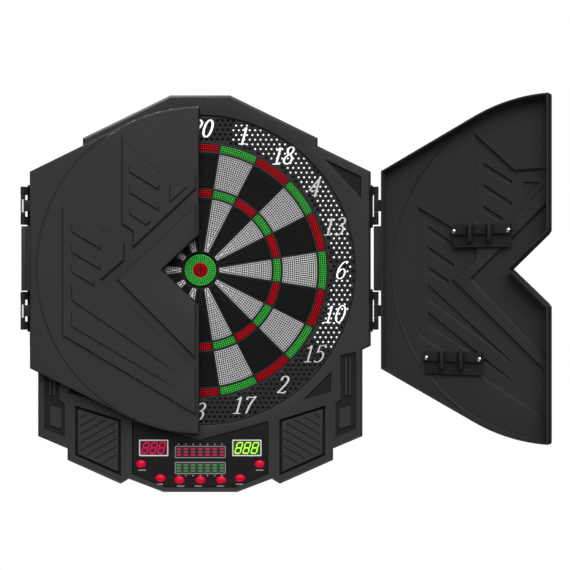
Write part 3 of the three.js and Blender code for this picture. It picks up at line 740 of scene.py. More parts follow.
def scoring_segments():
    plates = {}
    for name, (inner, outer) in SEGMENT_RINGS.items():
        outline = rounded(sector_outline(inner, outer, SEGMENT_SIDE_GAP), 0.6, 1)
        holes = sector_holes(inner, outer, EDGE_MARGIN)
        plates[name] = perforated(outline, holes, FACE_FRONT, CARRIER_BACK, 0.35)
    for i, number in enumerate(NUMBERS):
        dark = i % 2 == 0
        # Each piece's second material is a painted shade in its holes.
        single = (DARK_SEGMENT, DARK_HOLE_SHADE, "dark_segment") if dark else (LIGHT_SEGMENT, LIGHT_HOLE_SHADE, "light_segment")
        bonus = (RED, RED_HOLE_SHADE, "segment_red") if dark else (GREEN, GREEN_HOLE_SHADE, "segment_green")
        for name, mesh in plates.items():
            finish, hole, slot = single if "single" in name else bonus
            piece = mesh.object(f"{name}_{number}", [finish, hole], turned_by(i))
            stand_for(piece, f"number_wedge_{number}", slot, f"number_wedge_{number}")


def hole_circles(*radii):
    return [p for r in radii for p in (circle(r, round(2 * math.pi * r / HOLE_PITCH)) if r else [(0, 0)])]


def bulls():
    back = node_box("outer_bull")[1].y
    centres = hole_circles(14.1, 16.8, 19.5, 22.2)
    hollow = circle(BULL_INNER + 0.6, 48)
    made = perforated(circle(BULL_OUTER, 64), centres, FACE_FRONT, back, 0.5, [hollow], 1.25)
    stand_for(made.object("outer_bull_ring", [GREEN, GREEN_HOLE_SHADE]), "outer_bull", "segment_green", "outer_bull")
    front = node_box("inner_bull")[0].y
    made = perforated(circle(BULL_INNER, 48), hole_circles(0, 3.1, 6.1, 9.1), front, back, 0.6)
    stand_for(made.object("inner_bull_cap", [RED, RED_HOLE_SHADE]), "inner_bull", "segment_red", "inner_bull")


def spider():
    """The web between the segments, as one plate with a cell for each segment."""
    low, high = node_box("segment_spider")
    cells = []
    for inner, outer in SEGMENT_RINGS.values():
        cell = sector_outline(inner - WEB_GAP, outer + WEB_GAP, SEGMENT_SIDE_GAP - WEB_GAP)
        cell = rounded(cell, 0.8, 1)
        for i in range(len(NUMBERS)):
            c, s = math.cos(i * SECTOR), math.sin(i * SECTOR)
            cells.append([(x * c + z * s, -x * s + z * c) for x, z in cell])
    made = plate(circle(RING_INNER - 0.4, 200), low.y, high.y, 0.35, [circle(WEB_BULL, 72), *cells])
    stand_for(made.object("segment_web", [WEB]), "cabinet", "black_plastic", "segment_spider")


def funnel_centres():
    """The ring's hexagonal grid of dart funnels, as far as whole funnels fit between its two edges."""
    row_height = FUNNEL_PITCH * math.sin(math.pi / 3)
    reach = int(RING_OUTER / row_height) + 2
    for j in range(-reach, reach + 1):
        for i in range(-reach, reach + 1):
            x = FUNNEL_ORIGIN[0] + (i + 0.5 * (j % 2)) * FUNNEL_PITCH
            z = FUNNEL_ORIGIN[1] + j * row_height
            if RING_INNER + 0.5 < math.hypot(x, z) < RING_OUTER - 0.8:
                yield x, z


def pit_centres():
    """The places where three funnels meet."""
    for x, z in funnel_centres():
        for shift in (-1, 1):
            a, b = x + FUNNEL_PITCH / 2, z + shift * FUNNEL_PITCH / math.sqrt(12)
            if RING_INNER + 2.4 < math.hypot(a, b) < RING_OUTER - 2.4:
                yield a, b


def funnel_mouth(x, z):
    """A round mouth, cut off where it would reach over the ring's edges."""
    mouth = []
    for a, b in circle(FUNNEL_MOUTH, 12, (x, z)):
        radius = math.hypot(a, b)
        kept = min(max(radius, RING_INNER + 0.8), RING_OUTER - 0.9) / radius
        mouth.append((a * kept, b * kept))
    return mouth


def catch_ring():
    """The number ring: dart funnels that narrow to a hole, on a plate with a deep outer wall."""
    made = Mesh()
    centres = list(funnel_centres())
    outline, hollow = circle(RING_OUTER - 0.5, 180), circle(RING_INNER + 0.5, 160)
    pits = [(centre, PIT_RADIUS, 6) for centre in pit_centres()]
    loops = made.sheet(outline, RING_FRONT, [hollow, *[funnel_mouth(x, z) for x, z in centres]], pits)
    outer, inner, *others = sorted(loops, key=lambda loop: -abs(area(made.flat(loop))))
    plate_back = RING_FRONT + RING_PLATE
    pit_area = 1.2 * math.pi * PIT_RADIUS ** 2
    funnels = [loop for loop in others if abs(area(made.flat(loop))) > pit_area]
    # Pits and plain funnel floors take material 1 and funnel walls material 3, both painted shade; lit floors take
    # material 2, white with a painted glow.
    for loop in others[len(funnels):]:
        made.face(made.skirt(loop, [(0, RING_FRONT + 1.4)], 1), 1)
    for loop in funnels:
        x, z = np.array(made.flat(loop)).mean(0)
        throat = made.taper(loop, FUNNEL_THROAT / FUNNEL_MOUTH, RING_FRONT + 1.3, 3)
        free = abs(z) > LIT_GAP_HALF or x > LIT_GAP_END
        in_arc = LIT_ARC[0] < math.degrees(math.atan2(x, z)) < LIT_ARC[1]
        lit = free and in_arc and LIT_RADIUS < math.hypot(x, z) < RING_OUTER - 3.2
        floor = made.skirt(throat, [(0, RING_FRONT + 1.5 if lit else plate_back - 0.8)], 1)
        made.face(floor, 2 if lit else 1)
    edge = bevel_steps(0.5, RING_FRONT, 2)
    wall = made.skirt(outer, [*edge, (0.5, RING_BACK)])
    wall = made.skirt(wall, [(-2.5, RING_BACK)])
    wall = made.skirt(wall, [(0, plate_back)])
    made.annulus(wall, made.skirt(inner, [*edge, (0.5, plate_back)]))
    piece = made.object("number_ring", [RING, DARK_HOLE_SHADE, GLOWING_WHITE, FUNNEL_SHADE])
    stand_for(piece, "cabinet", "black_plastic", "catch_ring")


# ---------------------------------------------------------------- numerals

# Each digit is a set of pen strokes: points in a box of height 1, and whether the stroke closes on itself.
DIGITS = {
    0: [([(0.27, 0.97), (0.44, 0.8), (0.48, 0.5), (0.42, 0.17), (0.27, 0.03), (0.1, 0.2), (0.06, 0.5), (0.12, 0.83)], True)],
    1: [([(0.08, 0.79), (0.18, 0.82), (0.28, 0.93)], False), ([(0.28, 0.93), (0.28, 0.5), (0.28, 0.03)], False),
        ([(0.08, 0.03), (0.28, 0.03), (0.48, 0.03)], False)],
    2: [([(0.08, 0.74), (0.12, 0.9), (0.28, 0.97), (0.44, 0.84), (0.42, 0.62), (0.24, 0.32), (0.04, 0.05)], False),
        ([(0.04, 0.05), (0.2, 0.08), (0.36, 0.04), (0.48, 0.14)], False)],
    3: [([(0.08, 0.84), (0.18, 0.96), (0.34, 0.96), (0.44, 0.8), (0.36, 0.6), (0.18, 0.53)], False),
        ([(0.18, 0.53), (0.38, 0.5), (0.46, 0.3), (0.38, 0.1), (0.2, 0.02), (0.05, 0.1)], False)],
    4: [([(0.4, 0.97), (0.2, 0.62), (0.02, 0.3)], False), ([(0.02, 0.29), (0.26, 0.29), (0.52, 0.29)], False),
        ([(0.4, 0.97), (0.4, 0.5), (0.4, 0.03)], False), ([(0.24, 0.03), (0.4, 0.03), (0.54, 0.03)], False)],
    5: [([(0.14, 0.93), (0.3, 0.93), (0.48, 0.97)], False), ([(0.14, 0.94), (0.12, 0.76), (0.09, 0.55)], False),
        ([(0.09, 0.55), (0.26, 0.61), (0.42, 0.5), (0.45, 0.28), (0.34, 0.08), (0.16, 0.02), (0.03, 0.1)], False)],
    6: [([(0.44, 0.86), (0.36, 0.97), (0.22, 0.9), (0.09, 0.64), (0.06, 0.35), (0.12, 0.1), (0.27, 0.03), (0.42, 0.13),
          (0.46, 0.36), (0.36, 0.55), (0.22, 0.54), (0.09, 0.36)], False)],
    7: [([(0.05, 0.78), (0.08, 0.92), (0.28, 0.91), (0.5, 0.97)], False), ([(0.5, 0.97), (0.3, 0.55), (0.2, 0.03)], False)],
    8: [([(0.28, 0.97), (0.41, 0.9), (0.42, 0.72), (0.28, 0.54), (0.14, 0.68), (0.14, 0.88)], True),
        ([(0.28, 0.54), (0.45, 0.4), (0.46, 0.18), (0.27, 0.03), (0.07, 0.16), (0.1, 0.4)], True)],
    9: [([(0.43, 0.64), (0.32, 0.45), (0.14, 0.46), (0.07, 0.66), (0.14, 0.9), (0.3, 0.97), (0.43, 0.86), (0.46, 0.6),
          (0.38, 0.28), (0.22, 0.05), (0.06, 0.08)], False)],
}
DIGIT_HEIGHT = 28.2
DIGIT_SLANT = 0.28
DIGIT_PITCH = 16.8
NUMBER_RADIUS = 220.7
# These numbers take the darker print: painted shade where less light falls on them.
SHADED_NUMBERS = (4, 13, 15, 2, 17, 3, 19, 7)
PEN_WEIGHT = {20: 1.15, 6: 0.85, 10: 0.85, 15: 0.85}
NUMBER_SHIFT = {20: 3.5}
PEN_THICK = 0.112
PEN_THIN = 0.05


def spline(points, closed, steps=5):
    """A smooth line through points."""
    p = np.array(points, float)
    if len(p) < 3:
        return p
    if closed:
        p = np.vstack([p[-1], p, p[0], p[1]])
    else:
        p = np.vstack([2 * p[0] - p[1], p, 2 * p[-1] - p[-2]])
    line = []
    for a, b, c, d in zip(p, p[1:], p[2:], p[3:]):
        for t in np.arange(steps) / steps:
            line.append(((2 * b) + (c - a) * t + (2 * a - 5 * b + 4 * c - d) * t ** 2 + (3 * b - a - 3 * c + d) * t ** 3) / 2)
    if not closed:
        line.append(p[-2])
    return np.array(line)


def pen_stroke(points, closed, weight):
    """The outline of a stroke that is thick where it runs up or down and thin where it runs across."""
    line = spline(points, closed)
    if closed:
        along = np.roll(line, -1, 0) - np.roll(line, 1, 0)
    else:
        along = np.gradient(line, axis=0)
    along /= np.linalg.norm(along, axis=1)[:, None]
    half = weight * (PEN_THIN + (PEN_THICK - PEN_THIN) * np.abs(along[:, 1]) ** 1.5) / 2
    out = np.stack([-along[:, 1], along[:, 0]], 1) * half[:, None]
    left, right = (line + out).tolist(), (line - out).tolist()
    if closed:
        left, right = [*left, left[0]], [*right, right[0]]
    return [*left, *reversed(right)]


def numeral(number):
    """The pen strokes of a number, in millimetres about its middle."""
    digits = [int(d) for d in str(number)]
    shapes = []
    for k, digit in enumerate(digits):
        shift = (k - (len(digits) - 1) / 2) * DIGIT_PITCH
        for points, closed in DIGITS[digit]:
            shape = []
            for x, z in pen_stroke(points, closed, PEN_WEIGHT.get(number, 1)):
                x, z = (x - 0.26) * DIGIT_HEIGHT, (z - 0.5) * DIGIT_HEIGHT
                shape.append((x + shift + DIGIT_SLANT * z, z))
            shapes.append(shape)
    return shapes


def numerals():
    for i, number in enumerate(NUMBERS):
        middle = (NUMBER_RADIUS * math.sin(i * SECTOR) + NUMBER_SHIFT.get(number, 0), NUMBER_RADIUS * math.cos(i * SECTOR))
        shapes = [[(x + middle[0], z + middle[1]) for x, z in shape] for shape in numeral(number)]
        made = plate(shapes[0], RING_FRONT - 0.35, RING_FRONT + 0.3, joined=shapes[1:])
        # The darker print is painted shade; the rest of the print has a painted glow.
        finish = SHADED_PRINT if number in SHADED_NUMBERS else GLOWING_WHITE
        stand_for(made.object(f"numeral_{number}", [finish]), "cabinet", "light_segment")


# ---------------------------------------------------------------- cabinet


def both_sides(outline, rise, slope):
    return [(outline, rise, slope), (mirrored(outline), rise, slope)]


def front_frame():
    features = []
    for pocket in (UPPER_POCKET, LOWER_POCKET, POD_POCKET):
        features += both_sides(pocket, -POCKET_DEPTH, 1.8)
    height = POD_RIB_TOP - POD_RIB_BOTTOM
    for inner, outer in POD_RIBS:
        rib = rectangle(((inner + outer) / 2, POD_RIB_TOP - height / 2), outer - inner, height)
        features += both_sides(rib, POCKET_DEPTH - 1, 0.8)
    features += both_sides(POD_PAD, POCKET_DEPTH - 1, 2)
    panel = [PANEL_VALLEY, *PANEL_HALF, *mirrored(PANEL_HALF)]
    grille = inset(SPEAKER_OPENING, -GRILLE_GROOVE)
    backs = []
    for pocket in (UPPER_POCKET, LOWER_POCKET, POD_POCKET):
        backs += both_sides(inset(pocket, -1.5), -2, 1.5)
    made = shell(
        symmetric(BODY_HALF), FRAME_FRONT, FRAME_BACK, FRAME_WALL, FRAME_FACE, FRAME_EDGE, features, backs,
        collar=(circle(RING_OPENING, 200), FRAME_FRONT + 14),
        openings=[panel, grille, mirrored(grille)],
    )
    # Material 1 paints shade on the pockets' floors.
    stand_for(made.object("front_shell", [CABINET, PAINTED_SHADE_PLASTIC]), "cabinet", "cabinet_plastic", "front_frame")


def rear_cover():
    """The rear shell: keyholes, screw wells, and a raised field that stiffens it."""
    outline = symmetric(BODY_HALF)
    keyholes = []
    for x, z in KEYHOLES:
        half = KEYHOLE_SLOT / 2
        start = math.asin(half / KEYHOLE_HEAD)
        turns = [start + (2 * math.pi - 2 * start) * i / 14 for i in range(15)]
        head = [(x + KEYHOLE_HEAD * math.sin(t), z + KEYHOLE_HEAD * math.cos(t)) for t in turns]
        keyholes.append([*head, (x - half, z + KEYHOLE_DROP), (x + half, z + KEYHOLE_DROP)])
    wells = [(circle(6.5, 20, centre), -2.2, 0.8) for centre in SCREW_WELLS]
    field = [(inset(outline, 22), -1.5, 3), (circle(190, 120), 1.2, 3)]
    flip = Matrix.Diagonal((1, -1, 1, 1))
    made = Mesh().add(
        shell(outline, 0, -COVER_FRONT, FRAME_WALL, FRAME_WALL, round_profile(2), [*wells, *field], openings=keyholes),
        flip,
    )
    stand_for(made.object("rear_shell", [CABINET]), "cabinet", "cabinet_plastic", "rear_cover")
    for i, (x, z) in enumerate(SCREW_WELLS):
        place = Matrix.Translation((x, 0, z)) @ flip
        head = screw(3.6, 0.6, 3.4)
        stand_for(head.object(f"rear_screw_{i + 1}", [STEEL], place), "cabinet", "hinge_steel")


def screw(radius, y_front, y_back):
    """A domed screw head with a crossed recess."""
    arm, half = radius * 0.62, radius * 0.13
    cross = [(a * s, b * t) for a, b, s, t in (
        (half, arm, 1, 1), (half, half, 1, 1), (arm, half, 1, 1), (arm, half, 1, -1), (half, half, 1, -1),
        (half, arm, 1, -1), (half, arm, -1, -1), (half, half, -1, -1), (arm, half, -1, -1), (arm, half, -1, 1),
        (half, half, -1, 1), (half, arm, -1, 1),
    )]
    inner = inset(cross, radius * 0.06)

    def dome(points):
        r = np.linalg.norm(points, axis=1) / radius
        sunk = np.clip(depth_inside(points, cross) / (radius * 0.06), 0, 1) * radius * 0.22
        return y_front + radius * 0.45 * r ** 2 + sunk

    made = Mesh()
    rings = [circle(radius * f, 24) for f in (0.78, 0.9)]
    for loop in made.sheet(circle(radius, 24), dome, lines=[cross, inner, *rings]):
        made.cap(made.skirt(loop, [(0, y_back)]))
    return made


# ---------------------------------------------------------------- control panel


def lens(name, node, finish, slot, front):
    low, high = node_box(node)
    middle = ((low.x + high.x) / 2, (low.z + high.z) / 2)
    outline = rounded(rectangle(middle, high.x - low.x, high.z - low.z), 1, 2)
    made = plate(outline, front, high.y, 0.2)
    stand_for(made.object(name, [finish]), "cabinet", slot, node)
    return middle, high.x - low.x, high.z - low.z


def bezel(name, middle, width, height, line, front, finish):
    outline = rounded(rectangle(middle, width, height), 1.6, 3)
    hollow = rounded(rectangle(middle, width - 2 * line, height - 2 * line), 0.8, 3)
    made = plate(outline, front, PANEL_FRONT + 0.4, 0.35, [hollow])
    stand_for(made.object(name, [finish]), "cabinet", "black_plastic")


def lit_digit(middle, width, height):
    """The seven bars of one digit of a display, leaning to the right."""
    half_w, half_h, t = width / 2, height / 2, 0.88
    bars = []
    for z in (-half_h + t, 0, half_h - t):
        bars.append([(-half_w + t, z), (-half_w + 2 * t, z + t), (half_w - 2 * t, z + t), (half_w - t, z),
                     (half_w - 2 * t, z - t), (-half_w + 2 * t, z - t)])
    for x in (-half_w + t, half_w - t):
        for low, high in ((-half_h + t, 0), (0, half_h - t)):
            low, high = low + 0.35, high - 0.35
            bars.append([(x, low), (x + t, low + t), (x + t, high - t), (x, high), (x - t, high - t), (x - t, low + t)])
    return [[(x * 0.94 + DISPLAY_SLANT * z + middle[0], z + middle[1]) for x, z in inset(bar, 0.12)] for bar in bars]


def bars_piece(name, shapes, front, finish, slot):
    made = Mesh()
    for shape in shapes:
        made.add(plate(shape, front, front + 0.5))
    stand_for(made.object(name, [finish]), "cabinet", slot)


def displays():
    lens_front = PANEL_FRONT + 0.2
    for side, glass, light, slot in (
        ("left", RED_LENS, RED_LIGHT, "red_display"), ("right", GREEN_LENS, GREEN_LIGHT, "green_display"),
    ):
        name = f"{side}_score"
        middle, width, height = lens(f"{name}_lens", f"{name}_window", glass, slot, lens_front)
        bezel(f"{name}_bezel", middle, width - 1.2, height, 1.8, PANEL_FRONT - 0.8, SILVER)
        digits = []
        for k in (-1, 0, 1):
            digits += lit_digit((middle[0] + k * DISPLAY_DIGIT_PITCH, middle[1]), 10.6, 18.2)
        bars_piece(f"{name}_digits", digits, lens_front - 0.25, light, slot)
    for level, glass, light, slot in (
        ("upper", RED_MARKS_LENS, DIM_RED, "red_display"), ("lower", GREEN_MARKS_LENS, DIM_GREEN, "green_display"),
    ):
        name = f"{level}_marks"
        middle, width, height = lens(f"{name}_lens", f"{name}_window", glass, slot, lens_front)
        bezel(f"{name}_bezel", middle, width, height, 1.0, PANEL_FRONT - 0.5, LABEL)
        columns = [middle[0] + MARKS_PITCH * k for k in range(-3, 4)]
        rows = [middle[1] + 4.5 * k for k in (-1, 0, 1)]
        marks = [rectangle((x, z), 6.4, 2.5) for x in columns for z in rows]
        bars_piece(f"{name}_bars", marks, lens_front - 0.25, light, slot)
        outside = 1 if level == "upper" else -1
        ticks = [rectangle((x, middle[1] + outside * (height / 2 + 2.5)), 2, 1.8) for x in columns]
        bars_piece(f"{name}_ticks", ticks, PANEL_FRONT - 0.12, LABEL, "light_segment")


def control_panel():
    holes = []
    for node in ("left_score_window", "right_score_window", "upper_marks_window", "lower_marks_window"):
        low, high = node_box(node)
        middle = ((low.x + high.x) / 2, (low.z + high.z) / 2)
        holes.append(rectangle(middle, high.x - low.x + 0.3, high.z - low.z + 0.3))
    dashes = []
    for i in range(1, 8):
        low, high = node_box(f"button_{i}")
        middle = ((low.x + high.x) / 2, (low.z + high.z) / 2)
        holes.append(oval(middle, BUTTON_RADIUS + 0.7, BUTTON_RADIUS * BUTTON_FLATTENING + 0.7, 32))
        button(i, middle, low.y, high.y)
        dash = rectangle((middle[0] + DASH_SHIFTS[i - 1], middle[1] - 9.4), 11.5, 1.4)
        dashes.append(dash)
    panel = inset([PANEL_VALLEY, *PANEL_HALF, *mirrored(PANEL_HALF)], 0.4)
    made = plate(panel, PANEL_FRONT, node_box("control_panel")[1].y, 0.4, holes)
    stand_for(made.object("panel_plate", [PANEL_BLACK]), "cabinet", "black_plastic", "control_panel")
    bars_piece("button_labels", dashes, PANEL_FRONT - 0.12, LABEL, "light_segment")


def button(number, middle, front, back):
    """A domed oval cap on a flange that stays behind the panel."""
    front += 0.8
    rise = PANEL_FRONT - front
    turns = [math.pi / 2 * i / 10 for i in range(10)]
    dome = [(BUTTON_RADIUS * math.sin(t), front + rise * (1 - math.cos(t))) for t in turns]
    flange = PANEL_BACK + 0.3
    profile = [
        *dome, (BUTTON_RADIUS, PANEL_FRONT), (BUTTON_RADIUS, flange), (BUTTON_RADIUS + 1.4, flange), (BUTTON_RADIUS + 1.4, back), (0, back),
    ]
    made = lathe(profile, 40, BUTTON_FLATTENING)
    place = Matrix.Translation((middle[0], 0, middle[1]))
    name = f"button_{number}"
    stand_for(made.object(f"{name}_cap", [BUTTON], place), name, "button_red", name)


def speaker_grilles():
    """A plate with slanting grooves, in a sunk surround that parts it from the frame."""
    face = inset(SPEAKER_OPENING, 0.3)
    margin = inset(face, 3.4)

    def edge_height(x, upper):
        (x0, z0), (x1, z1) = (margin[0], margin[1]) if upper else (margin[3], margin[2])
        return z0 + (z1 - z0) * (x - x0) / (x1 - x0)

    grooves = []
    for k in range(-3, 12):
        start = SPEAKER_OPENING[1][1] + 4 - GROOVE_PITCH * k
        xs = np.linspace(margin[0][0], margin[1][0], 60)
        zs = start - GROOVE_FALL * (xs - xs[0])
        kept = [(x, z) for x, z in zip(xs, zs) if edge_height(x, False) < z < edge_height(x, True)]
        if len(kept) > 10:
            (x0, z0), (x1, z1) = kept[0], kept[-1]
            half = GROOVE_WIDTH / 2
            grooves.append([(x0, z0 + half), (x1, z1 + half), (x1, z1 - half), (x0, z0 - half)])
    front = FRAME_FRONT + 0.3
    back = front + 12
    floor = FRAME_FRONT + 8
    features = [(groove, -2.4, 1.9) for groove in grooves]
    for side, across in (("right", 1), ("left", -1)):
        made = Mesh()
        depth = relief(features, front)
        outline = inset(face, 0.6)
        for loop in made.sheet(outline, depth, lines=contour_lines(features)):
            # The surround's walls and floor take material 1, a painted shade.
            foot = made.skirt(made.skirt(loop, [*bevel_steps(0.6, front), (0.6, front + 2)]), [(0, floor)], 1)
            foot = made.skirt(foot, [(GRILLE_GROOVE + 3.4, floor)], 1)
            made.cap(made.skirt(foot, [(0, back)]))
        place = Matrix.Diagonal((across, 1, 1, 1))
        piece = made.object(f"{side}_grille", [CABINET, PAINTED_SHADE_PLASTIC], place)
        stand_for(piece, "cabinet", "cabinet_plastic", f"{side}_speaker_grille")


# ---------------------------------------------------------------- hinges


def left_leaf():
    return Matrix.Translation(Vector(LEFT_AXIS))


def right_leaf():
    turn = Matrix.Rotation(RIGHT_DOOR_OPEN, 4, "Z")
    return Matrix.Translation(Vector(RIGHT_AXIS)) @ turn @ Matrix.Diagonal((-1, 1, 1, 1))


def hinge_brackets():
    """The fixed half of each hinge: a base on the cabinet's side, and two ears that hold the steel pin."""
    columns = (
        ("left", Matrix.Translation(Vector(LEFT_AXIS))),
        ("right", Matrix.Translation(Vector(RIGHT_AXIS)) @ Matrix.Diagonal((-1, 1, 1, 1))),
    )
    inner = BRACKET_BASE_X
    outer = inner - 2.7
    base = [(inner, 12), (inner, 38), (outer, 38), (outer, 12)]
    ear = [(inner, 20), (inner, 3), (2.6, -2.6), (-3.1, 2), (outer, 12), (outer, 20)]
    bore = circle(PIN_BORE, 24)
    ear_inner = BRACKET_HALF - EAR_HEIGHT
    for side, column in columns:
        for level, height in HINGE_HEIGHTS:
            made = post(base, -BRACKET_HALF - BRACKET_FOOT, BRACKET_HALF + BRACKET_FOOT, 1.1)
            for low in (-BRACKET_HALF, ear_inner):
                made.add(post(ear, low, low + EAR_HEIGHT, 0, [bore], [circle(BARREL_RADIUS + 0.05, 28)]))
            for low in (-ear_inner, CLIP_HALF + 0.4):
                length = ear_inner - CLIP_HALF - 0.4
                made.add(post(circle(BARREL_RADIUS - 0.1, 28), low, low + length, 0.25, [bore]))
            place = column @ Matrix.Translation((0, 0, height))
            name = f"{side}_{level}_hinge"
            piece = made.object(f"{name}_ears", [BLACK], place)
            stand_for(piece, "cabinet", "black_plastic", f"{name}_bracket")
            half = BRACKET_HALF - 0.5
            pin = Mesh().add(lathe([
                (0, -half), (PIN_RADIUS - 0.4, -half), (PIN_RADIUS, -half + 0.4),
                (PIN_RADIUS, half - 0.4), (PIN_RADIUS - 0.4, half), (0, half),
            ], 24), UPRIGHT)
            piece = pin.object(f"{name}_rod", [PIN_STEEL], place)
            stand_for(piece, "cabinet", "hinge_steel", f"{name}_pin")


def hinge_clip(height):
    """The door's C-shaped clip round the pin, open towards the front of the closed door, and its tab."""
    start = math.asin(CLIP_MOUTH / PIN_BORE)
    outside = [(BARREL_RADIUS, math.asin(CLIP_MOUTH / BARREL_RADIUS)), (PIN_BORE, start)]
    shape = []
    for (radius, gap), way in zip(outside, (1, -1)):
        turns = [math.pi + gap + (2 * math.pi - 2 * gap) * i / 24 for i in range(25)][::way]
        shape += [(radius * math.sin(t), radius * math.cos(t)) for t in turns]
    made = post(shape, height - CLIP_HALF, height + CLIP_HALF, 0.25)
    tab = [(2.6, -2.6), (DOOR_EDGE + 0.5, -2.6), (DOOR_EDGE + 0.5, 3.2), (2.6, 3.2)]
    return made.add(post(tab, height - TAB_HALF, height + TAB_HALF, 0.4))


# ---------------------------------------------------------------- doors


def door_outline():
    """In the closed left door's hinge frame: hinge edge, slopes that run into the round ends, and the bull's notch."""
    from_centre = DOOR_EDGE - AXIS_X
    reach = math.hypot(from_centre, DOOR_HINGE_HALF)
    start = math.atan2(DOOR_HINGE_HALF, from_centre) - math.acos(DOOR_RADIUS / reach)
    end = math.acos((DOOR_FREE_EDGE - AXIS_X) / DOOR_RADIUS)
    steps = 28
    turns = [start + (end - start) * i / steps for i in range(steps + 1)]
    arc = [(AXIS_X + DOOR_RADIUS * math.cos(t), DOOR_RADIUS * math.sin(t)) for t in turns]
    upper = [(DOOR_EDGE, DOOR_HINGE_HALF), *arc, (DOOR_FREE_EDGE, NOTCH_HALF)]
    lower = [(x, -z) for x, z in reversed(upper)]
    return [*upper, (DOOR_FREE_EDGE - NOTCH_DEPTH, 0), *lower]


PLATE_END = DOOR_FREE_EDGE - 3
DOOR_PLATES = [
    [(153.5, 206.5), (153.5, 70), (170.3, 58.7), (170.3, 31), (PLATE_END, 123.7), (PLATE_END, 147), (217, 147)],
    [(62.5, 99), (159.7, 42), (159.7, 14.6), (125, -15.5), (PLATE_END, -150.7), (PLATE_END, -224.3), (62.5, -101)],
    [(145.2, -14.5), (PLATE_END, 101.7), (PLATE_END, -139.3)],
]


def slanted_bar(left, right, low_left, low_right):
    height = 12.5
    return [(left, low_left + height), (left, low_left), (right, low_right), (right, low_right + height * 0.8)]


DOOR_BARS = [
    slanted_bar(166, 213, 149, 120.5),
    slanted_bar(166, 213, 117.5, 88.5),
    [(166, 97.5), (166, 85), (192.3, 67.5), (202, 74)],
    slanted_bar(77.6, 123, 57.8, 30),
    slanted_bar(77.6, 123, 26.5, -1),
    [(77.6, 8.5), (77.6, -4), (114, -26), (114, -15)],
    [(77.6, -18.5), (77.6, -47), (238.7, -157.6)],
    [(77.6, -60.5), (77.6, -87), (238.7, -182)],
    [(227.7, 129), (227.7, 100.6), (256.4, 127)],
]


def door_reliefs():
    """The raised shapes of a door's outer face, and the hollows that follow them inside."""
    centre = (AXIS_X, 0)
    outer = [(circle(DOOR_RADIUS + 1.2, 160, centre), -DISC_GROOVE, 1)]
    outer += [(circle(DOOR_RADIUS - 1, 160, centre), DOOR_STEP + DISC_GROOVE, 1.8)]
    outer += [(shape, PLATE_RISE, 3) for shape in DOOR_PLATES]
    outer += [(shape, LOUVRE_RISE, 2.2) for shape in DOOR_BARS]
    return outer, [(inset(shape, 1), rise, slope) for shape, rise, slope in outer]


def dart_holder():
    """A block with three upright holes for the darts' points, ribs over its grooves, and a flange below."""
    half, top = HOLDER_WIDTH / 2, HOLDER_HEIGHT / 2
    ribs = [-DART_PITCH / 2 - 1.5, DART_PITCH / 2 - 1.5]
    section = [(-half, HOLDER_BACK_Y), (half, HOLDER_BACK_Y), (half, HOLDER_FRONT_Y)]
    floor = HOLDER_FRONT_Y - GROOVE_DEPTH
    for x in reversed(ribs):
        for left, right in reversed(RIB_GROOVES):
            left, right = x + left, x + right
            section += [(right, HOLDER_FRONT_Y), (right, floor), (left, floor), (left, HOLDER_FRONT_Y)]
    section.append((-half, HOLDER_FRONT_Y))
    middle = (HOLDER_BACK_Y + HOLDER_FRONT_Y) / 2
    dart_holes = [circle(DART_HOLE_RADIUS, 20, (x, middle)) for x in (-DART_PITCH, 0, DART_PITCH)]
    made = post(section, top - HOLDER_BLOCK_HEIGHT, top, 0.4, dart_holes)
    made.add(plate(rectangle((0, 0), HOLDER_WIDTH, HOLDER_HEIGHT), HOLDER_BACK_Y + 0.1, HOLDER_FLANGE_Y, 0.4))
    lip = rectangle((0, 1.1 - top), HOLDER_WIDTH, 2.2)
    made.add(plate(lip, HOLDER_BACK_Y + 0.2, HOLDER_FLANGE_Y + 1, 0.5))
    for x in ribs:
        for shift, wide, rise, low in ((0, 3.4, 4, 8.3), (-7.4, 1.1, 2, 17)):
            turns = [math.pi * i / 12 for i in range(13)]
            rib = [(x + shift + wide * math.cos(t), HOLDER_FRONT_Y + rise * math.sin(t)) for t in turns]
            rib += [(x + shift - wide, HOLDER_BACK_Y + 0.5), (x + shift + wide, HOLDER_BACK_Y + 0.5)]
            made.add(post(rib, low - top, top - 1, 0.3))
    return made


